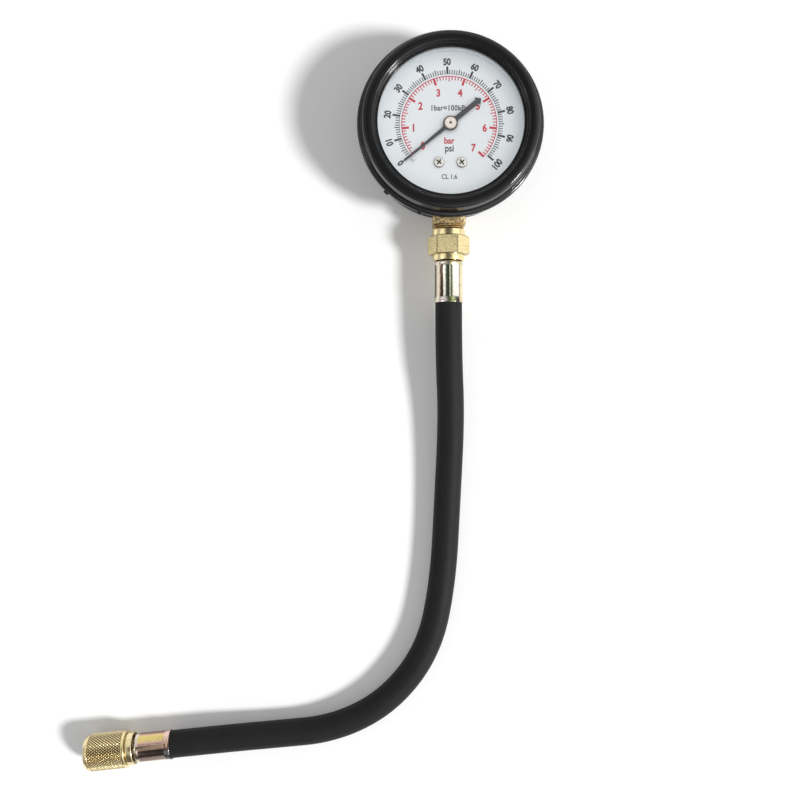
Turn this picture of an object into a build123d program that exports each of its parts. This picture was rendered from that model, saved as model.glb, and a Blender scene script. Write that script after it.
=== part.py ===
from build123d import *
import os
from math import acos, cos, degrees, hypot, pi, radians, sin, sqrt, tan

# A fuel pressure tester: an 80 mm gauge lying on its back, a brass fitting, and a short
# rubber hose that ends in a swivelling knurled nut.
# Millimetres. Z points out of the dial, Y towards the dial's top, and the origin is the
# middle of the case's back. The dial's radius and the case's depth drive the gauge.

# Dial and case
dial_radius = 34.4
dial_thickness = 0.6
dial_hole_radius = 2.4
dial_edge_room = 2.4
case_depth = 26.0
case_wall = 0.8
case_corner = 3.0
flange_width = 2.4

# Gasket, window and bezel
gasket_overlap = 3.0
gasket_rise = 3.6
window_thickness = 2.0
window_play = 0.2
bezel_wall = 0.8
bezel_play = 0.2
bezel_shoulder = 1.4
bezel_skirt_height = 2.6
bezel_rise = 2.4
bezel_edge_round = 1.2
face_inner_round = 0.4
shoulder_inner_round = 0.3
shoulder_outer_round = 0.5
lip_overlap = 2.9
lip_width = 1.0
lip_step = 1.0
lip_slope = 0.5
lip_round = 0.25
tab_angles = (-133.3, -109.3)
tab_groups = 2
tab_width = 2.2
tab_thickness = 0.7

# Dial screws and stop pin
dial_screw_x = 4.9
dial_screw_y = -16.5
dial_screw_radius = 1.0
dial_screw_head_radius = 2.2
dial_screw_head_height = 1.0
recess_width = 0.6
recess_length = 2.6
recess_depth = 0.6
post_wall = 0.8
stop_pin_radius = 0.9
stop_pin_distance = 21.9
stop_pin_angle = -136.3
stop_pin_height = 1.9

# Pointer, seen at rest against the zero mark
pointer_angle = -141.0
pointer_gap = 1.3
pointer_thickness = 0.4
pointer_ring_radius = 3.15
pointer_length = 25.9
pointer_root_width = 1.7
pointer_tip_width = 0.7
pointer_tail_width = 2.1
pointer_tail_length = 16.9
pointer_barb_length = 14.8
pointer_barb_width = 4.2
pointer_root_fillet = 1.2
hub_boss_radius = 2.55
hub_boss_height = 0.9
hub_barrel_radius = 1.6
hub_barrel_length = 1.2

# Movement: plates, gears and hairspring
base_plate_rise = 1.0
plate_thickness = 1.2
plate_spacing = 6.8
hub_corner_radius = 6.5
pillar_corner_radius = 2.6
sector_corner_radius = 4.0
upper_pillar_place = (-5.2, 4.6)
lower_pillar_x = -6.5
lower_pillar_drop = 4.3
lower_pillar_offset = 1.5
pillar_radius = 1.3
rivet_radius = 0.8
movement_screw_places = ((-4.6, -14), (3, -18.5))
movement_screw_radius = 1.0
movement_screw_head_radius = 1.7
movement_screw_head_height = 1.1
movement_screw_grip = 3.5
gear_module = 0.3
pinion_teeth = 12
sector_full_teeth = 96
pressure_angle = 25
addendum_share = 0.9
dedendum_share = 1.17
tooth_thinning = 0.03
pointer_sweep = 262
pivot_angle = -60.4
pivot_radius = 0.6
pivot_clearance = 0.05
shoulder_gap = 0.2
arbor_radius = 1.0
pinion_gap = 1.0
pinion_width = 2.4
sector_rise = 0.6
sector_thickness = 1.2
sector_arbor_radius = 1.3
sector_hub_radius = 2.8
sector_rim = 2.2
sector_spoke_angle = 9
sector_spare_teeth = 2
tail_length = 6.0
tail_width = 2.6
link_pin_radius = 0.5
link_thickness = 0.8
link_length = 11.0
link_width = 2.4
link_gap = 0.4
open_pivot_clearance = 0.25
spring_rise = 1.0
spring_height = 0.8
spring_thickness = 0.15
spring_inner_radius = 2.05
spring_pitch = 0.9
spring_half_turns = 8
collet_radius = 1.8
stud_radius = 0.7

# Bourdon tube
tube_height = 10.0
tube_width = 3.5
tube_wall = 0.4
tube_tip_angle = -15
tube_seat_angle = 259
tip_cap_angle = 9
tip_cap_wall = 0.8
tip_arm_thickness = 1.0

# Socket: its block stands clear of the plates, and its wings meet the case's wall
block_width = 16.0
block_cover = 1.0
block_gap = 1.0
wing_width = 28.0
wing_depth = 5.6
tongue_length = 11.0
tongue_thickness = 5.0
seat_clearance = 0.05
neck_radius = 7.0
neck_clearance = 0.1
flats_width = 14.3
flats_corner = 1.2
flats_length = 3.6
socket_thread_radius = 6.58
socket_root_radius = 5.75
socket_bore_radius = 1.5
thread_chamfer = 0.8
case_screw_angle = 17
case_screw_radius = 1.5
case_screw_clearance = 0.1
case_screw_head_radius = 2.75
case_screw_head_height = 0.9
case_screw_grip = 3.6

# Hex fitting, from its gauge end to the hose, and the ferrules
thread_relief = 2.0
thread_run_out = 1.4
upper_collar_radius = 7.4
upper_collar_length = 2.9
hex_across_flats = 16.0
hex_length = 8.3
hex_turn = 7.4
hex_chamfer = 0.9
hex_chamfer_angle = 30
lower_collar_radius = 7.05
lower_collar_length = 2.6
collar_round = 0.4
fitting_thread_clearance = 0.03
barb_pitch = 2.6
barb_depth = 0.35
barb_clearance = 0.1
ferrule_gap = 0.1
ferrule_stand = 0.25
ferrule_wall = 0.75
ferrule_flare = 0.2
ferrule_groove_radius = 3.6
ferrule_groove_width = 1.1
ferrule_shoulder_round = 1.0
ferrule_lip = 0.9
flare_length = 1.6
gauge_ferrule_length = 18.5
end_ferrule_length = 16.0
crimp_count = 8
crimp_depth = 0.3
crimp_margin = 2.6

# Hose: its route's corners in plan, from the gauge ferrule's mouth to the end ferrule's
hose_radius = 6.0
hose_bore_radius = 3.2
floor_clearance = 0.05
hose_corners = (
    (0, 0),
    (0, -23.4),
    (1.5, -50.4),
    (-0.2, -88.4),
    (-2.2, -125.4),
    (-8.5, -155.9),
    (-26.4, -179.3),
    (-51, -192),
    (-79, -194.5),
    (-101.8, -196),
    (-124.5, -198.4),
)
hose_drop = 4.0
hose_lift = 0.35
corner_share = 0.45

# Hose end. Distances start at the end ferrule's mouth.
end_shank_radius = 4.5
swivel_clearance = 0.05
nut_gap = 0.5
nut_length = 21.7
nut_radius = 8.0
nut_collar_step = 0.9
nut_collar_length = 2.6
nut_groove_depth = 0.4
nut_groove_length = 0.8
nut_rear_wall = 4.0
nut_thread_radius = 5.556
nut_thread_length = 12.0
nut_chamber_radius = 5.9
nut_front_chamfer = 1.6
nut_mouth_chamfer = 0.7
stem_flange_radius = 5.3
stem_flange_length = 2.0
stem_nose_radius = 2.6
stem_nose_length = 1.8
stem_bore_radius = 1.6
seal_radius = 5.1
seal_thickness = 2.2
seal_clearance = 0.05

# Radii and heights of the gauge that follow from those above
case_inner_radius = dial_radius + dial_edge_room
case_radius = case_inner_radius + case_wall
flange_radius = case_radius + flange_width
bezel_skirt_radius = flange_radius + bezel_play
bezel_wall_radius = bezel_skirt_radius - bezel_shoulder
aperture_radius = dial_radius - lip_overlap
window_radius = bezel_wall_radius - bezel_wall - window_play
gasket_inner_radius = dial_radius - gasket_overlap
dial_top = case_depth + dial_thickness
gasket_top = case_depth + gasket_rise
window_top = gasket_top + window_thickness
bezel_front = window_top + bezel_rise
pointer_low = dial_top + pointer_gap
pointer_top = pointer_low + pointer_thickness
hub_low = pointer_top - hub_barrel_length
hub_top = pointer_top + hub_boss_height

# Heights of the movement, which stands on the socket's tongue
stem_height = case_depth / 2
base_plate_height = stem_height + base_plate_rise
base_plate_top = base_plate_height + plate_thickness
top_plate_low = base_plate_top + plate_spacing
top_plate_top = top_plate_low + plate_thickness
spring_low = base_plate_top + spring_rise
pinion_low = spring_low + spring_height + pinion_gap
sector_low = pinion_low + sector_rise
sector_top = sector_low + sector_thickness
link_low = sector_top + link_gap
link_top = link_low + link_thickness

# Gear train and linkage
pinion_pitch_radius = gear_module * pinion_teeth / 2
sector_pitch_radius = gear_module * sector_full_teeth / 2
centre_distance = pinion_pitch_radius + sector_pitch_radius
sector_swing = pointer_sweep * pinion_teeth / sector_full_teeth
pivot_x = centre_distance * cos(radians(pivot_angle))
pivot_y = centre_distance * sin(radians(pivot_angle))
mesh_angle = pivot_angle + 180
tail_x = pivot_x + tail_length * cos(radians(sector_swing / 2))
tail_y = pivot_y - tail_length * sin(radians(sector_swing / 2))
tip_pin_y = tail_y + link_length
lower_pillar_y = pivot_y - lower_pillar_drop
pillar_places = (
    upper_pillar_place,
    (lower_pillar_x, lower_pillar_y),
    (pivot_x + lower_pillar_offset, lower_pillar_y),
)

# Socket and tube: distances from the gauge's axis. The tube runs midway in the room left.
block_inner = pillar_corner_radius - lower_pillar_y + block_gap
wing_inner = case_inner_radius - wing_depth
tube_radius = (block_inner + wing_inner) / 2
tongue_inner = block_inner - tongue_length
block_low = stem_height - tube_height / 2 - block_cover
block_height = tube_height + 2 * block_cover
tip_cap_top = stem_height + tube_height / 2 + tip_cap_wall

# Stem, hex fitting and gauge ferrule: distances from the gauge's axis
flats_end = case_radius + flats_length
fitting_start = flats_end + thread_relief
upper_collar_end = fitting_start + upper_collar_length
hex_end = upper_collar_end + hex_length
hex_corner_radius = hex_across_flats / sqrt(3)
hex_bevel = hex_chamfer * tan(radians(hex_chamfer_angle))
socket_thread_end = hex_end - thread_run_out
lower_collar_end = hex_end + lower_collar_length
gauge_ferrule_start = lower_collar_end + ferrule_gap
gauge_ferrule_end = gauge_ferrule_start + gauge_ferrule_length
ferrule_radius = hose_radius + ferrule_stand
crimp_radius = ferrule_radius - crimp_depth

# Hose route and coupling nut: the nut rests on what the hose lies on
hose_rest = hose_radius + floor_clearance
hose_heights = (
    stem_height,
    stem_height,
    stem_height - hose_drop,
    hose_rest,
    hose_rest,
    hose_rest,
    hose_rest,
    hose_rest,
    hose_rest + hose_lift,
    nut_radius,
    nut_radius,
)
hose_route = [
    (x, y - gauge_ferrule_end, z) for (x, y), z in zip(hose_corners, hose_heights)
]
nut_start = end_ferrule_length + nut_gap
nut_end = nut_start + nut_length
nut_collar_radius = nut_radius - nut_collar_step
nut_groove_radius = nut_collar_radius - nut_groove_depth


def polar(radius, angle):
    """Point at this radius and angle, in degrees from the X axis."""
    return (radius * cos(radians(angle)), radius * sin(radians(angle)))


def axial_plane(angle):
    """Upright plane that holds the gauge's axis: local X points outwards, local Y up."""
    return Plane(
        origin=(0, 0, 0), x_dir=polar(1, angle) + (0,), z_dir=polar(1, angle - 90) + (0,)
    )


def turning_plane(origin, direction):
    """Upright plane for a turned profile: local X runs along the turning axis, local Y up."""
    return Plane(origin=origin, x_dir=direction, z_dir=(direction[1], -direction[0], 0))


def facing_plane(origin, direction):
    """Plane across an axis: its normal points along the axis, and its Y points up."""
    return Plane(origin=origin, x_dir=(-direction[1], direction[0], 0), z_dir=direction)


stem_origin = (0, 0, stem_height)
stem_direction = (0, -1, 0)
stem_profile = turning_plane(stem_origin, stem_direction)
stem_face = facing_plane(stem_origin, stem_direction)
stem_axis = Axis(stem_origin, stem_direction)

end_origin = hose_route[-1]
end_reach = hypot(hose_route[-1][0] - hose_route[-2][0], hose_route[-1][1] - hose_route[-2][1])
end_direction = (
    (hose_route[-1][0] - hose_route[-2][0]) / end_reach,
    (hose_route[-1][1] - hose_route[-2][1]) / end_reach,
    0,
)
end_profile = turning_plane(end_origin, end_direction)
end_face = facing_plane(end_origin, end_direction)
end_axis = Axis(end_origin, end_direction)


# Case: a pressed cup with a rounded back corner and a flange at its mouth
with BuildPart() as case:
    with BuildSketch(Plane.XZ):
        with BuildLine():
            Polyline(
                (0, 0),
                (case_radius, 0),
                (case_radius, case_depth - case_wall),
                (flange_radius, case_depth - case_wall),
                (flange_radius, case_depth),
                (case_inner_radius, case_depth),
                (case_inner_radius, case_wall),
                (0, case_wall),
                close=True,
            )
        make_face()
    revolve(axis=Axis.Z)
    fillet(case.edges().filter_by(GeomType.CIRCLE).group_by(Axis.Z)[0], case_corner)
    inner_rim = case.edges().filter_by(GeomType.CIRCLE).filter_by(
        lambda edge: abs(edge.radius - case_inner_radius) < 0.01
    )
    fillet(inner_rim.sort_by(Axis.Z)[0], case_corner - case_wall)
    with BuildSketch(stem_face.offset(case_inner_radius - case_corner)):
        Circle(neck_radius + neck_clearance)
    extrude(amount=2 * case_corner, mode=Mode.SUBTRACT)
    for side in (-1, 1):
        with BuildSketch(
            facing_plane(stem_origin, polar(1, -90 + side * case_screw_angle) + (0,)).offset(
                case_inner_radius - case_corner
            )
        ):
            Circle(case_screw_radius + case_screw_clearance)
        extrude(amount=2 * case_corner, mode=Mode.SUBTRACT)
case.part.label = "case"

# Bezel: a pressed ring of even wall, stepped inside, with tabs bent under the case's flange
tab_top = case_depth - case_wall
with BuildPart() as bezel:
    with BuildSketch(Plane.XZ):
        with BuildLine():
            section = FilletPolyline(
                (aperture_radius, window_top),
                (aperture_radius, bezel_front - lip_step),
                (aperture_radius + lip_width, bezel_front - lip_step),
                (aperture_radius + lip_width + lip_slope, bezel_front),
                (bezel_wall_radius, bezel_front),
                (bezel_wall_radius, case_depth + bezel_skirt_height),
                (bezel_skirt_radius, case_depth + bezel_skirt_height - bezel_wall),
                (bezel_skirt_radius, case_depth),
                radius=(
                    lip_round,
                    lip_round,
                    face_inner_round,
                    bezel_edge_round,
                    shoulder_inner_round,
                    shoulder_outer_round,
                ),
            )
            offset(section, amount=bezel_wall, side=Side.RIGHT)
        make_face()
    revolve(axis=Axis.Z)
    for group in range(tab_groups):
        for tab_angle in tab_angles:
            with BuildSketch(axial_plane(tab_angle + group * 360 / tab_groups)):
                with BuildLine():
                    Polyline(
                        (bezel_skirt_radius, case_depth + tab_thickness),
                        (bezel_skirt_radius, tab_top),
                        (flange_radius - tab_thickness, tab_top),
                        (flange_radius - tab_thickness, tab_top - tab_thickness),
                        (bezel_skirt_radius + tab_thickness, tab_top - tab_thickness),
                        (bezel_skirt_radius + tab_thickness, case_depth + tab_thickness),
                        close=True,
                    )
                make_face()
            extrude(amount=tab_width / 2, both=True)
bezel.part.label = "bezel"

# Gasket: a ring on the case's mouth that carries the window and covers the dial's edge
with BuildPart() as window_gasket:
    with BuildSketch(Plane.XY.offset(dial_top + window_play)):
        Circle(window_radius)
        Circle(gasket_inner_radius, mode=Mode.SUBTRACT)
    extrude(amount=gasket_top - dial_top - window_play)
    with BuildSketch(Plane.XY.offset(case_depth)):
        Circle(window_radius)
        Circle(case_inner_radius, mode=Mode.SUBTRACT)
    extrude(amount=dial_thickness + window_play)
window_gasket.part.label = "window_gasket"

# Window: a clear disc
with BuildPart() as window:
    with BuildSketch(Plane.XY.offset(gasket_top)):
        Circle(window_radius)
    extrude(amount=window_thickness)
window.part.label = "window"

# Dial: a thin disc, bored for the pointer's arbor, its two screws and the stop pin
with BuildPart() as dial:
    with BuildSketch(Plane.XY.offset(case_depth)):
        Circle(dial_radius)
        Circle(dial_hole_radius, mode=Mode.SUBTRACT)
        with Locations((-dial_screw_x, dial_screw_y), (dial_screw_x, dial_screw_y)):
            Circle(dial_screw_radius + seat_clearance, mode=Mode.SUBTRACT)
        with Locations(polar(stop_pin_distance, stop_pin_angle)):
            Circle(stop_pin_radius / 2, mode=Mode.SUBTRACT)
    extrude(amount=dial_thickness)
dial.part.label = "dial"

# Stop pin: domed, and riveted through the dial beside the zero mark
with BuildPart() as stop_pin:
    with BuildSketch(Plane.XY.offset(case_depth)):
        with Locations(polar(stop_pin_distance, stop_pin_angle)):
            Circle(stop_pin_radius / 2)
    extrude(amount=dial_thickness)
    with BuildSketch(Plane.XY.offset(dial_top)):
        with Locations(polar(stop_pin_distance, stop_pin_angle)):
            Circle(stop_pin_radius)
    extrude(amount=stop_pin_height)
    fillet(stop_pin.edges().sort_by(Axis.Z)[-1], stop_pin_radius / 2)
stop_pin.part.label = "stop_pin"

# Dial screws: pan heads with a cross recess
with BuildPart() as dial_screws:
    with BuildSketch(Plane.XY.offset(dial_top)):
        with Locations((-dial_screw_x, dial_screw_y), (dial_screw_x, dial_screw_y)):
            Circle(dial_screw_head_radius)
    extrude(amount=dial_screw_head_height)
    fillet(dial_screws.edges().group_by(Axis.Z)[-1], dial_screw_head_height / 2)
    with BuildSketch(Plane.XY.offset(dial_top + dial_screw_head_height)):
        with Locations((-dial_screw_x, dial_screw_y), (dial_screw_x, dial_screw_y)):
            Rectangle(recess_length, recess_width)
            Rectangle(recess_width, recess_length)
    extrude(amount=-recess_depth, mode=Mode.SUBTRACT)
    with BuildSketch(Plane.XY.offset(dial_top)):
        with Locations((-dial_screw_x, dial_screw_y), (dial_screw_x, dial_screw_y)):
            Circle(dial_screw_radius)
    extrude(amount=top_plate_low - dial_top)
dial_screws.part.label = "dial_screws"

# Dial posts: sleeves that hold the dial off the movement's top plate
with BuildPart() as dial_posts:
    with BuildSketch(Plane.XY.offset(top_plate_top)):
        with Locations((-dial_screw_x, dial_screw_y), (dial_screw_x, dial_screw_y)):
            Circle(dial_screw_radius + post_wall)
            Circle(dial_screw_radius + seat_clearance, mode=Mode.SUBTRACT)
    extrude(amount=case_depth - top_plate_top)
dial_posts.part.label = "dial_posts"

# Pointer: a thin blade. Local X runs along the long arm, and the tail ends in an arrow.
with BuildPart() as pointer:
    with BuildSketch(Plane.XY.offset(pointer_low).rotated((0, 0, pointer_angle))):
        with BuildLine():
            Polyline(
                (pointer_ring_radius / 2, pointer_root_width / 2),
                (pointer_length - pointer_tip_width / 2, pointer_tip_width / 2),
                (pointer_length, 0),
                (pointer_length - pointer_tip_width / 2, -pointer_tip_width / 2),
                (pointer_ring_radius / 2, -pointer_root_width / 2),
                close=True,
            )
        make_face()
        with BuildLine():
            Polyline(
                (0, pointer_tail_width / 2),
                (-pointer_barb_length, pointer_tail_width / 2),
                (-pointer_barb_length, pointer_barb_width / 2),
                (-pointer_tail_length, 0),
                (-pointer_barb_length, -pointer_barb_width / 2),
                (-pointer_barb_length, -pointer_tail_width / 2),
                (0, -pointer_tail_width / 2),
                close=True,
            )
        make_face()
        Circle(pointer_ring_radius)
        Circle(hub_barrel_radius, mode=Mode.SUBTRACT)
    extrude(amount=pointer_thickness)
    arm_roots = pointer.edges().filter_by(Axis.Z).filter_by(
        lambda edge: abs(hypot(edge.center().X, edge.center().Y) - pointer_ring_radius) < 0.01
    )
    fillet(arm_roots, pointer_root_fillet)
pointer.part.label = "pointer"

# Pointer hub: a flanged bush, pressed through the pointer and on to the arbor
with BuildPart() as pointer_hub:
    with BuildSketch(Plane.XY.offset(hub_low)):
        Circle(hub_barrel_radius)
        Circle(pivot_radius, mode=Mode.SUBTRACT)
    extrude(amount=pointer_top - hub_low)
    with BuildSketch(Plane.XY.offset(pointer_top)):
        Circle(hub_boss_radius)
        Circle(pivot_radius, mode=Mode.SUBTRACT)
    extrude(amount=hub_boss_height)
    chamfer(pointer_hub.edges().group_by(Axis.Z)[-1].sort_by(SortBy.RADIUS)[-1], hub_boss_height / 3)
pointer_hub.part.label = "pointer_hub"


def involute(angle):
    """Involute of an angle in radians."""
    return tan(angle) - angle


def half_tooth(teeth, radius):
    """Half a tooth's width at a radius, as an angle in degrees."""
    pitch_radius = gear_module * teeth / 2
    base_radius = pitch_radius * cos(radians(pressure_angle))
    slope = acos(min(1, base_radius / radius))
    half_pitch = pi / (2 * teeth) - tooth_thinning / pitch_radius
    return degrees(half_pitch + involute(radians(pressure_angle)) - involute(slope))


def gear_tooth(teeth, tip_radius, root_radius):
    """One involute tooth that points along X, rooted a little inside its wheel."""
    base_radius = gear_module * teeth / 2 * cos(radians(pressure_angle))
    foot_radius = max(base_radius, root_radius)
    middle_radius = (foot_radius + tip_radius) / 2
    sunk_radius = root_radius - gear_module / 4
    with BuildSketch() as tooth:
        with BuildLine():
            for side in (-1, 1):
                foot = polar(foot_radius, side * half_tooth(teeth, foot_radius))
                middle = polar(middle_radius, side * half_tooth(teeth, middle_radius))
                tip = polar(tip_radius, side * half_tooth(teeth, tip_radius))
                Line(polar(sunk_radius, side * half_tooth(teeth, foot_radius)), foot)
                ThreePointArc(foot, middle, tip)
            Line(
                polar(tip_radius, -half_tooth(teeth, tip_radius)),
                polar(tip_radius, half_tooth(teeth, tip_radius)),
            )
            Line(
                polar(sunk_radius, -half_tooth(teeth, foot_radius)),
                polar(sunk_radius, half_tooth(teeth, foot_radius)),
            )
        make_face()
    return tooth.sketch


addendum = addendum_share * gear_module
dedendum = dedendum_share * gear_module
pinion_root = pinion_pitch_radius - dedendum
sector_root = sector_pitch_radius - dedendum
pinion_tooth = gear_tooth(pinion_teeth, pinion_pitch_radius + addendum, pinion_root)
sector_tooth = gear_tooth(sector_full_teeth, sector_pitch_radius + addendum, sector_root)

# Pinion, cut in one piece with the arbor that carries the pointer
with BuildPart() as pinion_arbor:
    with BuildSketch(Plane.XY.offset(base_plate_height + shoulder_gap)):
        Circle(pivot_radius)
    extrude(amount=hub_top - base_plate_height - shoulder_gap)
    with BuildSketch(Plane.XY.offset(base_plate_top + shoulder_gap)):
        Circle(arbor_radius)
    extrude(amount=plate_spacing - 2 * shoulder_gap)
    with BuildSketch(Plane.XY.offset(pinion_low)):
        Circle(pinion_root)
        with PolarLocations(0, pinion_teeth, start_angle=pivot_angle + 180 / pinion_teeth):
            add(pinion_tooth)
    extrude(amount=pinion_width)
pinion_arbor.part.label = "pinion_arbor"

# Sector: a toothed rim on two spokes, with a short tail that the link pulls
pitch_step = 360 / sector_full_teeth
swing_teeth = int(sector_swing / pitch_step) + 1
sector_end_angle = mesh_angle + (sector_spare_teeth + 0.5) * pitch_step
sector_start_angle = mesh_angle - (swing_teeth + sector_spare_teeth + 0.5) * pitch_step
sector_middle_angle = (sector_start_angle + sector_end_angle) / 2
tail_angle = -sector_swing / 2
with BuildPart() as sector:
    with BuildSketch(Plane((pivot_x, pivot_y, sector_low))):
        Circle(sector_root)
        with BuildLine():
            Polyline(
                (0, 0),
                polar(2 * sector_root, sector_start_angle),
                polar(2 * sector_root, sector_middle_angle),
                polar(2 * sector_root, sector_end_angle),
                close=True,
            )
        make_face(mode=Mode.INTERSECT)
        with BuildLine():
            CenterArc(
                (0, 0),
                sector_root - sector_rim,
                sector_start_angle + sector_spoke_angle,
                sector_end_angle - sector_start_angle - 2 * sector_spoke_angle,
            )
            Line(
                polar(sector_root - sector_rim, sector_start_angle + sector_spoke_angle),
                polar(sector_hub_radius, sector_middle_angle),
            )
            Line(
                polar(sector_root - sector_rim, sector_end_angle - sector_spoke_angle),
                polar(sector_hub_radius, sector_middle_angle),
            )
        make_face(mode=Mode.SUBTRACT)
        Circle(sector_hub_radius)
        with Locations(polar(tail_length / 2, tail_angle)):
            SlotOverall(tail_length + tail_width, tail_width, rotation=tail_angle)
        for number in range(-swing_teeth - sector_spare_teeth, sector_spare_teeth + 1):
            with Locations(Location((0, 0, 0), (0, 0, mesh_angle + number * pitch_step))):
                add(sector_tooth)
        Circle(sector_arbor_radius, mode=Mode.SUBTRACT)
    extrude(amount=sector_thickness)
    with BuildSketch(Plane.XY.offset(sector_low)):
        with Locations((tail_x, tail_y)):
            Circle(link_pin_radius)
    extrude(amount=link_top - sector_low)
sector.part.label = "sector"

# Sector arbor
with BuildPart() as sector_arbor:
    with BuildSketch(Plane((pivot_x, pivot_y, base_plate_height + shoulder_gap))):
        Circle(pivot_radius)
    extrude(amount=top_plate_top - base_plate_height - 2 * shoulder_gap)
    with BuildSketch(Plane((pivot_x, pivot_y, base_plate_top + shoulder_gap))):
        Circle(sector_arbor_radius)
    extrude(amount=plate_spacing - 2 * shoulder_gap)
sector_arbor.part.label = "sector_arbor"

# Link: a flat strip. Its eye on the sector's tail is the linkage's open pivot.
with BuildPart() as link:
    with BuildSketch(Plane((tail_x, tail_y + link_length / 2, link_low))):
        SlotCenterToCenter(link_length, link_width, rotation=90)
        with Locations((0, link_length / 2)):
            Circle(link_pin_radius + pivot_clearance, mode=Mode.SUBTRACT)
        with Locations((0, -link_length / 2)):
            Circle(link_pin_radius + open_pivot_clearance, mode=Mode.SUBTRACT)
    extrude(amount=link_thickness)
link.part.label = "link"

# Bourdon tube: a flattened tube in a C, open into the socket and capped at its tip
with BuildPart() as bourdon_tube:
    with BuildSketch(axial_plane(tube_tip_angle)):
        with Locations((tube_radius, stem_height)):
            SlotOverall(tube_height, tube_width, rotation=90)
            SlotOverall(
                tube_height - 2 * tube_wall,
                tube_width - 2 * tube_wall,
                rotation=90,
                mode=Mode.SUBTRACT,
            )
    revolve(axis=Axis.Z, revolution_arc=tube_seat_angle - tube_tip_angle)
bourdon_tube.part.label = "bourdon_tube"

# Tube tip: a soldered end cap with an arm and the link's pin
tip_anchor = polar(tube_radius, tube_tip_angle - tip_cap_angle / 2)
tip_arm_low = link_low - link_gap / 2 - tip_arm_thickness
with BuildPart() as tube_tip:
    with BuildSketch(axial_plane(tube_tip_angle - tip_cap_angle)):
        with Locations((tube_radius, stem_height)):
            SlotOverall(
                tube_height + 2 * tip_cap_wall, tube_width + 2 * tip_cap_wall, rotation=90
            )
    revolve(axis=Axis.Z, revolution_arc=tip_cap_angle)
    with BuildSketch(Plane.XY.offset(tip_arm_low)):
        with Locations((tail_x, tip_pin_y), tip_anchor):
            Circle(link_width / 2)
        make_hull()
    extrude(amount=tip_arm_thickness)
    with BuildSketch(Plane.XY.offset(tip_cap_top - tip_cap_wall)):
        with Locations(tip_anchor):
            Circle(link_width / 2)
    extrude(amount=tip_arm_low - tip_cap_top + tip_cap_wall)
    with BuildSketch(Plane.XY.offset(tip_arm_low)):
        with Locations((tail_x, tip_pin_y)):
            Circle(link_pin_radius)
    extrude(amount=link_top - tip_arm_low)
tube_tip.part.label = "tube_tip"


def plate_outline():
    """Outline that both movement plates share: rounded corners joined by tangents."""
    with BuildSketch() as outline:
        Circle(hub_corner_radius)
        with Locations((pivot_x, pivot_y)):
            Circle(sector_corner_radius)
        with Locations(*pillar_places):
            Circle(pillar_corner_radius)
        make_hull()
        with Locations((0, 0), (pivot_x, pivot_y)):
            Circle(pivot_radius + pivot_clearance, mode=Mode.SUBTRACT)
        with Locations(*pillar_places):
            Circle(rivet_radius, mode=Mode.SUBTRACT)
    return outline.sketch


# Movement plates: the base rests on the socket's tongue, the top carries the dial posts
with BuildPart() as base_plate:
    with BuildSketch(Plane.XY.offset(base_plate_height)):
        add(plate_outline())
        with Locations(*movement_screw_places):
            Circle(movement_screw_radius, mode=Mode.SUBTRACT)
    extrude(amount=plate_thickness)
base_plate.part.label = "base_plate"

with BuildPart() as top_plate:
    with BuildSketch(Plane.XY.offset(top_plate_low)):
        add(plate_outline())
        with Locations((-dial_screw_x, dial_screw_y), (dial_screw_x, dial_screw_y)):
            Circle(dial_screw_radius, mode=Mode.SUBTRACT)
    extrude(amount=plate_thickness)
top_plate.part.label = "top_plate"

# Pillars: riveted into both plates
with BuildPart() as pillars:
    with BuildSketch(Plane.XY.offset(base_plate_height)):
        with Locations(*pillar_places):
            Circle(rivet_radius)
    extrude(amount=top_plate_top - base_plate_height)
    with BuildSketch(Plane.XY.offset(base_plate_top)):
        with Locations(*pillar_places):
            Circle(pillar_radius)
    extrude(amount=plate_spacing)
pillars.part.label = "pillars"

# Movement screws: they hold the base plate on the socket's tongue
with BuildPart() as movement_screws:
    with BuildSketch(Plane.XY.offset(base_plate_top)):
        with Locations(*movement_screw_places):
            Circle(movement_screw_head_radius)
            Rectangle(2 * movement_screw_head_radius, recess_width, mode=Mode.SUBTRACT)
    extrude(amount=movement_screw_head_height)
    with BuildSketch(Plane.XY.offset(base_plate_top)):
        with Locations(*movement_screw_places):
            Circle(movement_screw_head_radius)
    extrude(amount=movement_screw_head_height / 2)
    with BuildSketch(Plane.XY.offset(base_plate_top)):
        with Locations(*movement_screw_places):
            Circle(movement_screw_radius)
    extrude(amount=-plate_thickness - movement_screw_grip)
movement_screws.part.label = "movement_screws"

# Hairspring: half turns of growing radius about two centres half a pitch apart
spring_step = spring_pitch / 2
spring_end_radius = spring_inner_radius + (spring_half_turns - 1) * spring_step
spring_end_x = spring_end_radius + (spring_step if spring_half_turns % 2 == 0 else 0)
with BuildPart() as hairspring:
    with BuildSketch(Plane.XY.offset(spring_low)):
        with BuildLine():
            for side in (-spring_thickness / 2, spring_thickness / 2):
                for number in range(spring_half_turns):
                    CenterArc(
                        ((number % 2) * spring_step, 0),
                        spring_inner_radius + number * spring_step + side,
                        number * 180,
                        180,
                    )
            Line(
                (spring_inner_radius - spring_thickness / 2, 0),
                (spring_inner_radius + spring_thickness / 2, 0),
            )
            Line(
                (spring_end_x - spring_thickness / 2, 0),
                (spring_end_x + spring_thickness / 2, 0),
            )
        make_face()
    extrude(amount=spring_height)
hairspring.part.label = "hairspring"

# Collet: holds the hairspring's inner end on the arbor
with BuildPart() as hairspring_collet:
    with BuildSketch(Plane.XY.offset(spring_low - shoulder_gap)):
        Circle(collet_radius)
        Circle(arbor_radius, mode=Mode.SUBTRACT)
    extrude(amount=spring_height + 2 * shoulder_gap)
hairspring_collet.part.label = "hairspring_collet"

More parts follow.
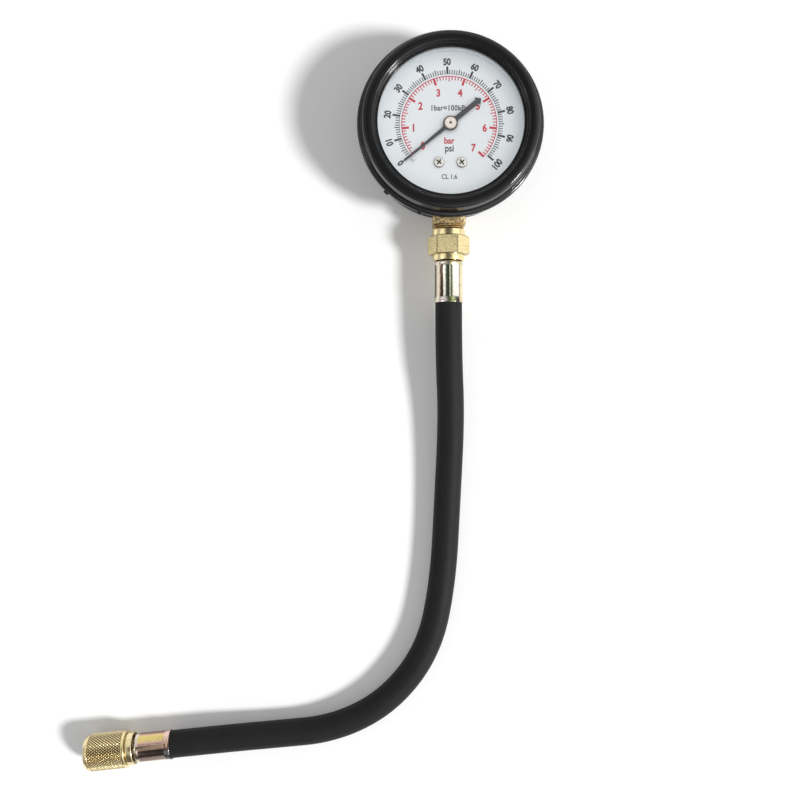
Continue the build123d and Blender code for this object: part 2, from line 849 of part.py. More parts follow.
# Stud: a post on the base plate for the hairspring's outer end
with BuildPart() as hairspring_stud:
    with BuildSketch(Plane((spring_end_x, stud_radius, base_plate_top))):
        Circle(stud_radius)
    extrude(amount=spring_low + spring_height + shoulder_gap - base_plate_top)
hairspring_stud.part.label = "hairspring_stud"

# Socket: a brass body that carries the tube, the movement and the outside thread
with BuildPart() as socket:
    with BuildSketch(Plane.XY.offset(block_low)):
        with Locations((0, -(block_inner + case_radius) / 2)):
            Rectangle(block_width, case_radius - block_inner)
        with Locations((0, -(wing_inner + case_radius) / 2)):
            Rectangle(wing_width, case_radius - wing_inner)
        Circle(case_inner_radius - seat_clearance, mode=Mode.INTERSECT)
    extrude(amount=block_height)
    with BuildSketch(Plane.XY.offset(base_plate_height - tongue_thickness)):
        with Locations((0, -(tongue_inner + block_inner) / 2)):
            Rectangle(block_width, block_inner - tongue_inner)
    extrude(amount=tongue_thickness)
    with BuildSketch(stem_face.offset(wing_inner)):
        Circle(neck_radius)
    extrude(amount=case_radius - wing_inner + neck_clearance)
    with BuildSketch(stem_face.offset(case_radius + neck_clearance)):
        RectangleRounded(flats_width, flats_width, flats_corner)
    extrude(amount=flats_length - neck_clearance)
    with BuildSketch(stem_face.offset(flats_end)):
        Circle(socket_root_radius)
    extrude(amount=thread_relief)
    with BuildSketch(stem_face.offset(fitting_start)):
        Circle(socket_thread_radius)
    extrude(amount=socket_thread_end - fitting_start)
    chamfer(socket.faces().sort_by(Axis.Y)[0].outer_wire().edges(), thread_chamfer)
    with BuildSketch(axial_plane(tube_tip_angle)):
        with Locations((tube_radius, stem_height)):
            SlotOverall(tube_height, tube_width, rotation=90)
    revolve(
        axis=Axis.Z, revolution_arc=tube_seat_angle - tube_tip_angle, mode=Mode.SUBTRACT
    )
    with BuildSketch(stem_face.offset(tube_radius)):
        Circle(socket_bore_radius)
    extrude(amount=socket_thread_end, mode=Mode.SUBTRACT)
    with BuildSketch(axial_plane(tube_seat_angle)):
        with Locations((tube_radius, stem_height)):
            Circle(socket_bore_radius)
    revolve(axis=Axis.Z, revolution_arc=270 - tube_seat_angle, mode=Mode.SUBTRACT)
    with BuildSketch(Plane.XY.offset(base_plate_height)):
        with Locations(*movement_screw_places):
            Circle(movement_screw_radius)
    extrude(amount=-movement_screw_grip, mode=Mode.SUBTRACT)
    for side in (-1, 1):
        with BuildSketch(
            facing_plane(stem_origin, polar(1, -90 + side * case_screw_angle) + (0,)).offset(
                case_inner_radius - case_screw_grip
            )
        ):
            Circle(case_screw_radius)
        extrude(amount=case_screw_grip, mode=Mode.SUBTRACT)
socket.part.label = "socket"

# Case screws: they hold the case to the socket's wings
with BuildPart() as case_screws:
    for side in (-1, 1):
        screw_face = facing_plane(stem_origin, polar(1, -90 + side * case_screw_angle) + (0,))
        with BuildSketch(screw_face.offset(case_radius)):
            Circle(case_screw_head_radius)
        extrude(amount=case_screw_head_height)
        with BuildSketch(screw_face.offset(case_radius + case_screw_head_height)):
            Rectangle(recess_length, recess_width)
            Rectangle(recess_width, recess_length)
        extrude(amount=-recess_depth, mode=Mode.SUBTRACT)
        with BuildSketch(screw_face.offset(case_inner_radius - case_screw_grip)):
            Circle(case_screw_radius)
        extrude(amount=case_screw_grip + case_wall)
case_screws.part.label = "case_screws"


def barb_outline(start, end, radius):
    """Points of a barbed tail's upper outline, each barb rising towards the fitting."""
    count = int((end - start) / barb_pitch)
    pitch = (end - start) / count
    points = []
    for number in range(count):
        points.append((start + number * pitch, radius))
        points.append((start + (number + 1) * pitch, radius - barb_depth))
    return points


# Hex fitting: a turned nut with two collars and a barbed tail, screwed on the socket
fitting_tail = hose_bore_radius - barb_clearance
with BuildPart() as hex_fitting:
    with BuildSketch(stem_profile):
        with BuildLine():
            Polyline(
                (fitting_start, 0),
                (fitting_start, upper_collar_radius),
                (upper_collar_end, upper_collar_radius),
                (upper_collar_end, hex_corner_radius - hex_chamfer),
                (upper_collar_end + hex_bevel, hex_corner_radius),
                (hex_end - hex_bevel, hex_corner_radius),
                (hex_end, hex_corner_radius - hex_chamfer),
                (hex_end, lower_collar_radius),
                (lower_collar_end, lower_collar_radius),
                (lower_collar_end, ferrule_groove_radius),
                (lower_collar_end + ferrule_groove_width, ferrule_groove_radius),
                *barb_outline(
                    lower_collar_end + ferrule_groove_width,
                    gauge_ferrule_end - flare_length,
                    fitting_tail,
                ),
                (gauge_ferrule_end - flare_length, 0),
                close=True,
            )
        make_face()
    revolve(axis=stem_axis)
    with BuildSketch(stem_face.offset(upper_collar_end)):
        Circle(hex_across_flats)
        RegularPolygon(
            hex_across_flats / 2, 6, major_radius=False, rotation=hex_turn, mode=Mode.SUBTRACT
        )
    extrude(amount=hex_end - upper_collar_end, mode=Mode.SUBTRACT)
    collar_edges = hex_fitting.edges().filter_by(GeomType.CIRCLE).filter_by(
        lambda edge: abs(edge.radius - upper_collar_radius) < 0.01
        or abs(edge.radius - lower_collar_radius) < 0.01
    )
    fillet(collar_edges.sort_by(Axis.Y)[0], collar_round)
    fillet(collar_edges.sort_by(Axis.Y)[-1], collar_round)
    with BuildSketch(stem_face.offset(fitting_start)):
        Circle(socket_thread_radius + fitting_thread_clearance)
    extrude(amount=socket_thread_end + seat_clearance - fitting_start, mode=Mode.SUBTRACT)
    with BuildSketch(stem_face.offset(fitting_start)):
        Circle(socket_bore_radius)
    extrude(amount=gauge_ferrule_end - fitting_start, mode=Mode.SUBTRACT)
hex_fitting.part.label = "hex_fitting"


def ferrule_part(profile_plane, face_plane, axis, shoulder, mouth):
    """A crimped sleeve between two distances along its axis, flared at the mouth."""
    towards_mouth = 1 if mouth > shoulder else -1
    inner_radius = ferrule_radius - ferrule_wall
    with BuildPart() as sleeve:
        with BuildSketch(profile_plane):
            with BuildLine():
                Polyline(
                    (shoulder, ferrule_groove_radius + seat_clearance),
                    (shoulder, ferrule_radius),
                    (mouth - towards_mouth * flare_length, ferrule_radius),
                    (mouth, ferrule_radius + ferrule_flare),
                    (mouth, hose_radius + seat_clearance),
                    (mouth - towards_mouth * flare_length, hose_radius + seat_clearance),
                    (mouth - towards_mouth * (flare_length + seat_clearance), inner_radius),
                    (shoulder + towards_mouth * ferrule_lip, inner_radius),
                    (
                        shoulder + towards_mouth * ferrule_lip,
                        ferrule_groove_radius + seat_clearance,
                    ),
                    close=True,
                )
            make_face()
        revolve(axis=axis)
        corner = sleeve.edges().filter_by(GeomType.CIRCLE).filter_by(
            lambda edge: abs(edge.radius - ferrule_radius) < 0.01
        )
        fillet(corner.sort_by(axis)[0 if towards_mouth > 0 else -1], ferrule_shoulder_round)
        low = min(shoulder, mouth) + crimp_margin
        with BuildSketch(face_plane.offset(low)):
            Circle(2 * ferrule_radius)
            RegularPolygon(crimp_radius, crimp_count, major_radius=False, mode=Mode.SUBTRACT)
        extrude(amount=abs(mouth - shoulder) - 2 * crimp_margin, mode=Mode.SUBTRACT)
    return sleeve


# Ferrules: thin sleeves crimped over the hose, one at each end
gauge_ferrule = ferrule_part(
    stem_profile, stem_face, stem_axis, gauge_ferrule_start, gauge_ferrule_end
)
gauge_ferrule.part.label = "gauge_ferrule"
end_ferrule = ferrule_part(end_profile, end_face, end_axis, end_ferrule_length, 0)
end_ferrule.part.label = "end_ferrule"


def corner_radii(points):
    """Radius of each corner's arc, which takes a share of the shorter run beside it."""
    radii = []
    for before, here, after in zip(points, points[1:], points[2:]):
        arriving = Vector(*here) - Vector(*before)
        leaving = Vector(*after) - Vector(*here)
        half_turn = radians(arriving.get_angle(leaving)) / 2
        radii.append(corner_share * min(arriving.length, leaving.length) / tan(half_turn))
    return radii


# Hose: one rubber tube, squeezed thinner inside both ferrules
hose_radii = corner_radii(hose_route)
squeezed_radius = ferrule_radius - ferrule_wall - seat_clearance
gauge_squeeze_start = lower_collar_end + ferrule_groove_width + seat_clearance
end_squeeze_end = end_ferrule_length + ferrule_gap - ferrule_groove_width - seat_clearance
with BuildPart() as hose:
    with BuildLine() as route:
        FilletPolyline(*hose_route, radius=hose_radii)
    with BuildSketch(stem_face.offset(gauge_ferrule_end)):
        Circle(hose_radius)
        Circle(hose_bore_radius, mode=Mode.SUBTRACT)
    sweep(path=route.wires()[0])
    free_volume = hose.part.volume
    with BuildSketch(stem_face.offset(gauge_ferrule_end)):
        Circle(hose_radius)
        Circle(hose_bore_radius, mode=Mode.SUBTRACT)
    extrude(amount=-flare_length)
    with BuildSketch(stem_face.offset(gauge_squeeze_start)):
        Circle(squeezed_radius)
        Circle(hose_bore_radius, mode=Mode.SUBTRACT)
    extrude(amount=gauge_ferrule_end - flare_length - gauge_squeeze_start)
    with BuildSketch(end_face):
        Circle(hose_radius)
        Circle(hose_bore_radius, mode=Mode.SUBTRACT)
    extrude(amount=flare_length)
    with BuildSketch(end_face.offset(flare_length)):
        Circle(squeezed_radius)
        Circle(hose_bore_radius, mode=Mode.SUBTRACT)
    extrude(amount=end_squeeze_end - flare_length)
hose.part.label = "hose"

# End stem: a barbed tail in the hose, and a flange that the coupling nut turns on
shank_start = end_ferrule_length + ferrule_gap
flange_start = nut_start + nut_rear_wall + shoulder_gap
flange_end = flange_start + stem_flange_length
with BuildPart() as end_stem:
    with BuildSketch(end_profile):
        with BuildLine():
            tail_points = barb_outline(
                -shank_start + ferrule_groove_width, -flare_length, fitting_tail
            )
            Polyline(
                (flare_length, 0),
                *[(-x, y) for x, y in reversed(tail_points)],
                (shank_start - ferrule_groove_width, ferrule_groove_radius),
                (shank_start, ferrule_groove_radius),
                (shank_start, end_shank_radius),
                (flange_start, end_shank_radius),
                (flange_start, stem_flange_radius),
                (flange_end, stem_flange_radius),
                (flange_end, stem_nose_radius),
                (flange_end + stem_nose_length, stem_nose_radius),
                (flange_end + stem_nose_length, 0),
                close=True,
            )
        make_face()
    revolve(axis=end_axis)
    with BuildSketch(end_face):
        Circle(stem_bore_radius)
    extrude(amount=flange_end + stem_nose_length, mode=Mode.SUBTRACT)
end_stem.part.label = "end_stem"

# Seal: a rubber washer on the stem's nose
with BuildPart() as seal_washer:
    with BuildSketch(end_face.offset(flange_end)):
        Circle(seal_radius)
        Circle(stem_nose_radius + seal_clearance, mode=Mode.SUBTRACT)
    extrude(amount=seal_thickness)
seal_washer.part.label = "seal_washer"

# Coupling nut: it turns on the stem's shank, and its front is threaded
nut_thread_end = nut_end - nut_mouth_chamfer
nut_thread_start = nut_thread_end - nut_thread_length
grip_start = nut_start + nut_collar_length + nut_groove_length
with BuildPart() as coupling_nut:
    with BuildSketch(end_profile):
        with BuildLine():
            Polyline(
                (nut_start, end_shank_radius + swivel_clearance),
                (nut_start, nut_collar_radius),
                (nut_start + nut_collar_length, nut_collar_radius),
                (nut_start + nut_collar_length, nut_groove_radius),
                (grip_start, nut_groove_radius),
                (grip_start, nut_radius),
                (nut_end - nut_front_chamfer, nut_radius),
                (nut_end, nut_radius - nut_front_chamfer / 2),
                (nut_end, nut_thread_radius + nut_mouth_chamfer),
                (nut_thread_end, nut_thread_radius),
                (nut_thread_start, nut_thread_radius),
                (nut_thread_start, nut_chamber_radius),
                (nut_start + nut_rear_wall, nut_chamber_radius),
                (nut_start + nut_rear_wall, end_shank_radius + swivel_clearance),
                close=True,
            )
        make_face()
    revolve(axis=end_axis)
coupling_nut.part.label = "coupling_nut"

# Sizes to read: the hose's arcs and volume, and the gear train
route_length = route.wires()[0].length
section_area = pi * (hose_radius**2 - hose_bore_radius**2)
print("hose arc radii:", [round(radius, 1) for radius in hose_radii])
print("hose route length:", round(route_length, 2))
print("hose volume / (section x length):", round(free_volume / section_area / route_length, 5))
print("sector swing:", round(sector_swing, 3), "degrees")
print("sector pivot:", round(pivot_x, 4), round(pivot_y, 4))
print("end direction:", [round(value, 6) for value in end_direction])

pieces = (
    case, bezel, window_gasket, window, dial, stop_pin, dial_screws, dial_posts,
    pointer, pointer_hub, pinion_arbor, sector, sector_arbor, link, bourdon_tube,
    tube_tip, base_plate, top_plate, pillars, movement_screws, hairspring,
    hairspring_collet, hairspring_stud, socket, case_screws, hex_fitting,
    gauge_ferrule, end_ferrule, hose, end_stem, seal_washer, coupling_nut,
)
os.makedirs("parts", exist_ok=True)
for piece in pieces:
    export_step(piece.part, "parts/" + piece.part.label + ".step")
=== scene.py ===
from math import cos, hypot, pi, radians, sin, tan

import bpy
from mathutils import Matrix, Vector


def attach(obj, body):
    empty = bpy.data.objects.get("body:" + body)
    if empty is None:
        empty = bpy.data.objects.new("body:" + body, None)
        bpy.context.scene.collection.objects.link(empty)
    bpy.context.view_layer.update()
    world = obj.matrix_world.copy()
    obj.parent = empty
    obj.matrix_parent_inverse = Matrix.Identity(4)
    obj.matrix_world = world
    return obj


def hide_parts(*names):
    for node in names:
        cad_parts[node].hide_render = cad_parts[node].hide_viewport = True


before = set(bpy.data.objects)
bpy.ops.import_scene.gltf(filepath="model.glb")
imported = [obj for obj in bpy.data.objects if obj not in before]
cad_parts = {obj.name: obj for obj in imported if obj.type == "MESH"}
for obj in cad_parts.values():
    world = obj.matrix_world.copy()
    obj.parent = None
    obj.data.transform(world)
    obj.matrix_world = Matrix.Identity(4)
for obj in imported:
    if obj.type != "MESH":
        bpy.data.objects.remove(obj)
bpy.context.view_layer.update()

# Camera: straight above the bench, midway between the gauge and the coupling nut, turned so
# that the dial's top is up. Its lens gives the photograph's square frame.
overhead_camera = bpy.data.objects.new("overhead_camera", bpy.data.cameras.new("overhead_camera"))
overhead_camera.location = (-0.02167, -0.1188, 0.418)
overhead_camera.data.lens = 40.9
overhead_camera.data.clip_start = 0.01
bpy.context.collection.objects.link(overhead_camera)
bpy.context.scene.camera = overhead_camera

# Hose: one length of black rubber, 12 mm across and about 287 mm between its ferrules. It
# leaves the gauge straight, comes down to the bench and bends round to the left. The skin
# is as it left the mould: matt, faintly mottled, a little paler where it is scuffed.
hose_diameter = 0.012
stem_height = 0.013
lying_height = 0.00605
hose_route = (
    (0, -0.0744, stem_height),
    (0, -0.099, stem_height),
    (0.0015, -0.126, 0.009),
    (-0.0002, -0.164, lying_height),
    (-0.0022, -0.201, lying_height),
    (-0.0085, -0.2315, lying_height),
    (-0.0264, -0.2549, lying_height),
    (-0.051, -0.2676, lying_height),
    (-0.079, -0.2701, 0.0064),
    (-0.1018, -0.2716, 0.008),
    (-0.12569, -0.27413, 0.008),
)
hose_line = bpy.data.curves.new("rubber_hose", "CURVE")
hose_line.dimensions = "3D"
hose_line.resolution_u = 16
hose_line.bevel_depth = hose_diameter / 2
hose_line.bevel_resolution = 11
hose_line.use_fill_caps = True
spline = hose_line.splines.new("NURBS")
spline.points.add(len(hose_route) - 1)
for point, place in zip(spline.points, hose_route):
    point.co = (*place, 1)
spline.order_u = 3
spline.use_endpoint_u = True
rubber_hose = bpy.data.objects.new("rubber_hose", hose_line)
bpy.context.collection.objects.link(rubber_hose)


class Signal:
    """One output of a finish's node. Sums, products and powers of it add Math nodes."""

    def __init__(self, finish, node, output):
        self.finish, self.node, self.output = finish, node, output

    def maths(self, operation, first, second):
        return self.finish.node("ShaderNodeMath", {"operation": operation}, {0: first, 1: second})

    def __add__(self, other):
        return self.maths("ADD", self, other)

    def __sub__(self, other):
        return self.maths("SUBTRACT", self, other)

    def __rsub__(self, other):
        return self.maths("SUBTRACT", other, self)

    def __mul__(self, other):
        return self.maths("MULTIPLY", self, other)

    def __pow__(self, other):
        return self.maths("POWER", self, other)

    def __gt__(self, other):
        return self.maths("GREATER_THAN", self, other)

    def __lt__(self, other):
        return self.maths("LESS_THAN", self, other)

    __radd__ = __add__
    __rmul__ = __mul__


class Finish:
    """A material, or the surroundings. Its shader is made last, from its nodes' signals."""

    def __init__(self, name, kind="Material", coordinates="Object"):
        self.stuff = {"Material": bpy.data.materials, "World": bpy.data.worlds}[kind].new(name)
        self.stuff.use_nodes = True
        self.stuff.node_tree.nodes.clear()
        self.kind = kind
        self.place = self.node("ShaderNodeTexCoord", output=coordinates)

    def node(self, kind, settings=None, sockets=None, output=0):
        """Adds a node, sets it up, fills or links its sockets, and gives one of its outputs."""
        added = self.stuff.node_tree.nodes.new(kind)
        for name, setting in (settings or {}).items():
            if name == "stops":
                added.color_ramp.elements[0].position = setting[0][0]
                added.color_ramp.elements[1].position = setting[-1][0]
                for position, colour in setting[1:-1]:
                    added.color_ramp.elements.new(position)
                for element, (position, colour) in zip(added.color_ramp.elements, setting):
                    element.color = (*colour, 1)
            else:
                setattr(added, name, setting)
        for name, value in (sockets or {}).items():
            if isinstance(value, Signal):
                source = value.node.outputs[value.output]
                self.stuff.node_tree.links.new(source, added.inputs[name])
            else:
                added.inputs[name].default_value = value
        return Signal(self, added, output)

    def part(self, vector, direction):
        """How far a vector reaches in a direction."""
        return self.node(
            "ShaderNodeVectorMath", {"operation": "DOT_PRODUCT"}, {0: vector, 1: direction},
            "Value",
        )

    def round_axis(self, origin, direction):
        """Distance along an axis, distance from it, and angle round it from straight up."""
        axis = Vector(direction).normalized()
        reach = self.node(
            "ShaderNodeVectorMath", {"operation": "SUBTRACT"}, {0: self.place, 1: origin}
        )
        side = self.part(reach, Vector((0, 0, 1)).cross(axis))
        up = self.part(reach, (0, 0, 1))
        angle = self.node("ShaderNodeMath", {"operation": "ARCTAN2"}, {0: side, 1: up})
        return self.part(reach, axis), (side * side + up * up) ** 0.5, angle

    def rise(self, signal, low, high):
        """From 0 to 1 as a signal goes from low to high."""
        return self.node("ShaderNodeMapRange", {}, {0: signal, 1: low, 2: high})

    def near(self, signal, value, width):
        """1 where a signal is at a value, falling to 0 at half the width on each side."""
        before, after = (self.rise(signal, value + side * width / 2, value) for side in (-1, 1))
        return before * after

    def mottle(self, scale, detail=3, stretch=(1, 1, 1)):
        """Noise of so many lumps to the metre, from 0 to 1, stretched along the axes."""
        spread = self.node("ShaderNodeMapping", {}, {"Vector": self.place, "Scale": stretch})
        return self.node(
            "ShaderNodeTexNoise", {}, {"Vector": spread, "Scale": scale, "Detail": detail}
        )

    def blend(self, share, first, second):
        """A colour between two colours."""
        first, second = (
            colour if isinstance(colour, Signal) else (*colour, 1) for colour in (first, second)
        )
        return self.node(
            "ShaderNodeMix", {"data_type": "RGBA"}, {0: share, 6: first, 7: second}, 2
        )

    def relief(self, height, depth):
        """A normal for a surface whose height varies by this depth in metres."""
        return self.node("ShaderNodeBump", {}, {"Height": height, "Distance": depth})

    def surface(self, shader):
        """Puts this shader on the surface."""
        self.node("ShaderNodeOutput" + self.kind, {}, {"Surface": shader})

    def solid(self, sockets):
        """Finishes it as one solid stuff, whose sockets are given."""
        self.surface(self.node("ShaderNodeBsdfPrincipled", {}, sockets))


rubber = Finish("hose_rubber")
rubber_grain = rubber.mottle(2600)
rubber_scuff = rubber.mottle(90, 6)
rubber.solid({
    "Base Color": rubber.blend(rubber_scuff ** 2.0, (0.014, 0.014, 0.0145), (0.024, 0.024, 0.025)),
    "Roughness": 0.5 + 0.2 * rubber_scuff,
    "Specular IOR Level": 0.12,
    "Sheen Weight": 0.06,
    "Normal": rubber.relief(rubber_grain, 0.00004),
})
hose_line.materials.append(rubber.stuff)
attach(rubber_hose, "gauge")
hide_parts("hose")

# Case: a cup pressed from sheet steel with a round back, in satin black. The screws that
# hold it to the socket go through its wall beside the stem, with low heads that don't
# stand out past the bezel.
satin_black = Finish("satin_black")
satin_grain = satin_black.mottle(900, 4)
satin_black.solid({
    "Base Color": satin_black.blend(satin_grain, (0.010, 0.010, 0.011), (0.018, 0.018, 0.019)),
    "Roughness": 0.42 + 0.15 * satin_grain,
    "Specular IOR Level": 0.3,
    "Normal": satin_black.relief(satin_grain, 0.00002),
})
joining_distance = 0.000001
crease_angle = radians(28)


def choose(*pieces):
    """Leaves only these pieces selected, the last one active."""
    bpy.ops.object.select_all(action="DESELECT")
    for piece in pieces:
        piece.select_set(True)
    bpy.context.view_layer.objects.active = pieces[-1]


def fitted(piece, finish, body, slot, *nodes):
    """Gives a piece its finish, its body and the CAD nodes that it stands for. Its slot is not
    used.
    """
    piece.data.materials.clear()
    piece.data.materials.append(finish.stuff)
    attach(piece, body)
    if nodes:
        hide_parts(*nodes)


def smooth_copy(node, name):
    """A copy of a CAD node with its triangles joined, so that its curves shade as curves."""
    piece = bpy.data.objects.new(name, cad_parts[node].data.copy())
    bpy.context.collection.objects.link(piece)
    choose(piece)
    bpy.ops.mesh.customdata_custom_splitnormals_clear()
    bpy.ops.object.mode_set(mode="EDIT")
    bpy.ops.mesh.select_all(action="SELECT")
    bpy.ops.mesh.remove_doubles(threshold=joining_distance)
    bpy.ops.object.mode_set(mode="OBJECT")
    bpy.ops.object.shade_smooth_by_angle(angle=crease_angle)
    return piece


back_round, back_narrowing, back_rings = 0.010, 0.13, 5
enamelled_case = smooth_copy("case", "enamelled_case")
bpy.ops.object.mode_set(mode="EDIT")
for ring in range(2, back_rings + 1):
    bpy.ops.mesh.select_all(action="SELECT")
    bpy.ops.mesh.bisect(plane_co=(0, 0, back_round * ring / back_rings), plane_no=(0, 0, 1))
bpy.ops.object.mode_set(mode="OBJECT")
for vertex in enamelled_case.data.vertices:
    drop = max(0, 1 - vertex.co.z / back_round)
    vertex.co.x *= 1 - back_narrowing * drop ** 2
    vertex.co.y *= 1 - back_narrowing * drop ** 2
bpy.ops.object.shade_smooth_by_angle(angle=crease_angle)
fitted(enamelled_case, satin_black, "gauge", "black_case_paint", "case")
case_screws = smooth_copy("case_screws", "blackened_case_screws")
case_inner_radius, screw_lowering, screw_turn = 0.0368, 0.55, radians(17)
for vertex in case_screws.data.vertices:
    side = 1 if vertex.co.x > 0 else -1
    outward = Vector((sin(screw_turn) * side, -cos(screw_turn), 0))
    excess = max(0, outward.dot(vertex.co) - case_inner_radius)
    vertex.co -= screw_lowering * excess * outward
fitted(case_screws, satin_black, "gauge", "screw_nickel", "case_screws")

# Bezel: a ring pressed from sheet steel in black enamel. Its inner lip has a step, its face
# is slightly domed, and its skirt sits on the case's flange, held by tabs that are bent
# under it. The lower left pair still shows past the skirt, the upper right pair doesn't.
black_enamel = Finish("black_enamel")
enamel_peel = black_enamel.mottle(700, 2)
enamel_haze = black_enamel.mottle(45, 5)
black_enamel.solid({
    "Base Color": black_enamel.blend(enamel_haze, (0.006, 0.006, 0.007), (0.012, 0.012, 0.013)),
    "Roughness": 0.08 + 0.05 * enamel_haze,
    "Normal": black_enamel.relief(enamel_peel, 0.000003),
})
mm = 0.001
rounding_steps = 5
rim_crease = radians(35)


def rounded(corners):
    """Points of a closed outline. A corner is a radius, a height and its rounding, in mm."""
    points = []
    earlier, later = corners[-1:] + corners[:-1], corners[1:] + corners[:1]
    for before, corner, after in zip(earlier, corners, later):
        here, rounding = Vector(corner[:2]), corner[2]
        back = (Vector(before[:2]) - here).normalized()
        onward = (Vector(after[:2]) - here).normalized()
        if rounding == 0:
            points.append(here)
            continue
        half = back.angle(onward) / 2
        centre = here + (back + onward).normalized() * rounding / sin(half)
        start = (here + back * rounding / tan(half) - centre).normalized()
        end = (here + onward * rounding / tan(half) - centre).normalized()
        for step in range(rounding_steps + 1):
            points.append(centre + start.slerp(end, step / rounding_steps) * rounding)
    return points


def turned(name, corners, sides, place=Matrix()):
    """A ring with this cross-section, spun round its axis and put in its place."""
    outline = rounded(corners)
    bpy.ops.object.select_all(action="DESELECT")
    bpy.ops.mesh.primitive_circle_add(vertices=len(outline))
    piece = bpy.context.object
    piece.name = name
    for vertex, (radius, height) in zip(piece.data.vertices, outline):
        vertex.co = (radius * mm, 0, height * mm)
    bpy.ops.object.mode_set(mode="EDIT")
    bpy.ops.mesh.select_all(action="SELECT")
    bpy.ops.mesh.spin(steps=sides, angle=2 * pi, center=(0, 0, 0), axis=(0, 0, 1))
    bpy.ops.mesh.select_all(action="SELECT")
    bpy.ops.mesh.remove_doubles(threshold=joining_distance)
    bpy.ops.mesh.normals_make_consistent(inside=False)
    bpy.ops.object.mode_set(mode="OBJECT")
    piece.data.transform(place)
    bpy.ops.object.shade_smooth_by_angle(angle=rim_crease)
    return piece


bezel_ring = turned("bezel_ring", [
    (31.2, 31.6, 0.1), (31.2, 32.4, 0.3), (32.25, 32.45, 0.1), (32.35, 33.3, 0.55),
    (33.0, 33.35, 0.1), (33.15, 34.2, 0.75), (35.2, 34.5, 3), (37.6, 34.2, 0.9), (38.5, 28.5, 0.3),
    (40.2, 28.2, 0.9), (40.2, 26, 0.1), (39.4, 26, 0.1), (39.4, 27.5, 0.2), (38, 27.9, 0.3),
    (37.1, 33.1, 0.5), (33.8, 33.3, 0.2), (33, 32.2, 0.2), (32.3, 32.2, 0.1), (32.3, 31.6, 0.1),
], 192)
tab_thickness, tab_width, tab_edge, tab_height = 1.5, 2.2, 0.25, 25.6
bezel_tabs = []
for angle, reach in ((-133.3, 40.15), (-109.3, 40.15), (46.7, 39.4), (70.7, 39.4)):
    bpy.ops.mesh.primitive_cube_add(size=1)
    tab = bpy.context.object
    tab.data.transform(Matrix.Diagonal((tab_thickness * mm, tab_width * mm, tab_width * mm, 1)))
    bezel_tabs.append(tab)
    bpy.ops.object.mode_set(mode="EDIT")
    bpy.ops.mesh.select_all(action="SELECT")
    bpy.ops.mesh.bevel(offset=tab_edge * mm, segments=3)
    bpy.ops.object.mode_set(mode="OBJECT")
    tab.data.transform(
        Matrix.Rotation(radians(angle), 4, "Z")
        @ Matrix.Translation((reach * mm, 0, tab_height * mm))
    )
    bpy.ops.object.shade_smooth_by_angle(angle=rim_crease)
choose(*bezel_tabs, bezel_ring)
bpy.ops.object.join()
fitted(bezel_ring, black_enamel, "gauge", "black_bezel_paint", "bezel")

# Gasket: a ring moulded in milky rubber that carries the window and shows as a pale line
# under the bezel's lip.
milky_rubber = Finish("milky_rubber")
milky_clouds = milky_rubber.mottle(160)
milky_rubber.solid({
    "Base Color": milky_rubber.blend(milky_clouds, (0.74, 0.79, 0.82), (0.82, 0.86, 0.88)),
    "Roughness": 0.42 + 0.15 * milky_clouds,
    "Subsurface Weight": 0.3,
    "Subsurface Radius": (0.001, 0.001, 0.001),
})
milky_gasket = smooth_copy("window_gasket", "milky_gasket")
fitted(milky_gasket, milky_rubber, "gauge", "pale_gasket", "window_gasket")

# Window: a disc cut from clear acrylic. It sits in the gasket, under the bezel's lip, and
# only mirrors a little of the light over the dial.
clear_acrylic = Finish("clear_acrylic")
acrylic_wipe = clear_acrylic.mottle(30, 5)
acrylic_gloss = clear_acrylic.node(
    "ShaderNodeBsdfGlossy", {}, {"Color": (1, 1, 1, 1), "Roughness": 0.02 + 0.04 * acrylic_wipe}
)
acrylic_front = 1 - clear_acrylic.node("ShaderNodeNewGeometry", output="Backfacing")
clear_acrylic.surface(clear_acrylic.node("ShaderNodeMixShader", {}, {
    0: acrylic_front * clear_acrylic.node("ShaderNodeFresnel", {}, {"IOR": 1.3}),
    1: clear_acrylic.node("ShaderNodeBsdfTransparent"),
    2: acrylic_gloss,
}))


def coat(finish, *nodes):
    """Gives CAD nodes whose shape is right their finish."""
    for node in nodes:
        for material_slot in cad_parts[node].material_slots:
            material_slot.material = finish.stuff


coat(clear_acrylic, "window")

# Dial plate: a disc of aluminium sheet in a cold white lacquer. It is screwed to two posts
# that stand on the movement.
white_lacquer = Finish("white_lacquer")
lacquer_grain = white_lacquer.mottle(1500, 2)
lacquer_clouds = white_lacquer.mottle(60, 4)
white_lacquer.solid({
    "Base Color": white_lacquer.blend(lacquer_clouds, (0.78, 0.82, 0.85), (0.84, 0.87, 0.89)),
    "Roughness": 0.5 + 0.12 * lacquer_grain,
    "Normal": white_lacquer.relief(lacquer_grain, 0.000004),
})
coat(white_lacquer, "dial")

# Dial print: two scales screened on the lacquer a little off its centre, pounds per square
# inch in black outside and bars in red inside. Both start a little late, at the zero mark
# where the pointer rests. The units and the class of the gauge are in dark grey.
ink_low, ink_high = 26.59, 26.62
ink_middle, ink_depth = (ink_low + ink_high) / 2, ink_high - ink_low
zero_angle, top_angle, bar_step = -129.0, 133.55, 38.15
scale_start = top_angle - 7 * bar_step
bars_in_psi = 0.0689476
psi_step = bar_step * bars_in_psi
print_x, print_y = -0.5, 0.15


def ink(name, base):
    """A printed colour: a thin even film, a little thinner here and there."""
    finish = Finish(name)
    film = finish.mottle(1200)
    finish.solid({
        "Base Color": finish.blend(film, base, [0.8 * part + 0.05 for part in base]),
        "Roughness": 0.4 + 0.1 * film,
    })
    return finish


black_ink = ink("black_ink", (0.022, 0.024, 0.030))
red_ink = ink("red_ink", (0.60, 0.02, 0.05))
grey_ink = ink("grey_ink", (0.07, 0.07, 0.08))
bpy.ops.mesh.primitive_cube_add(size=1)
one_mark = bpy.context.object


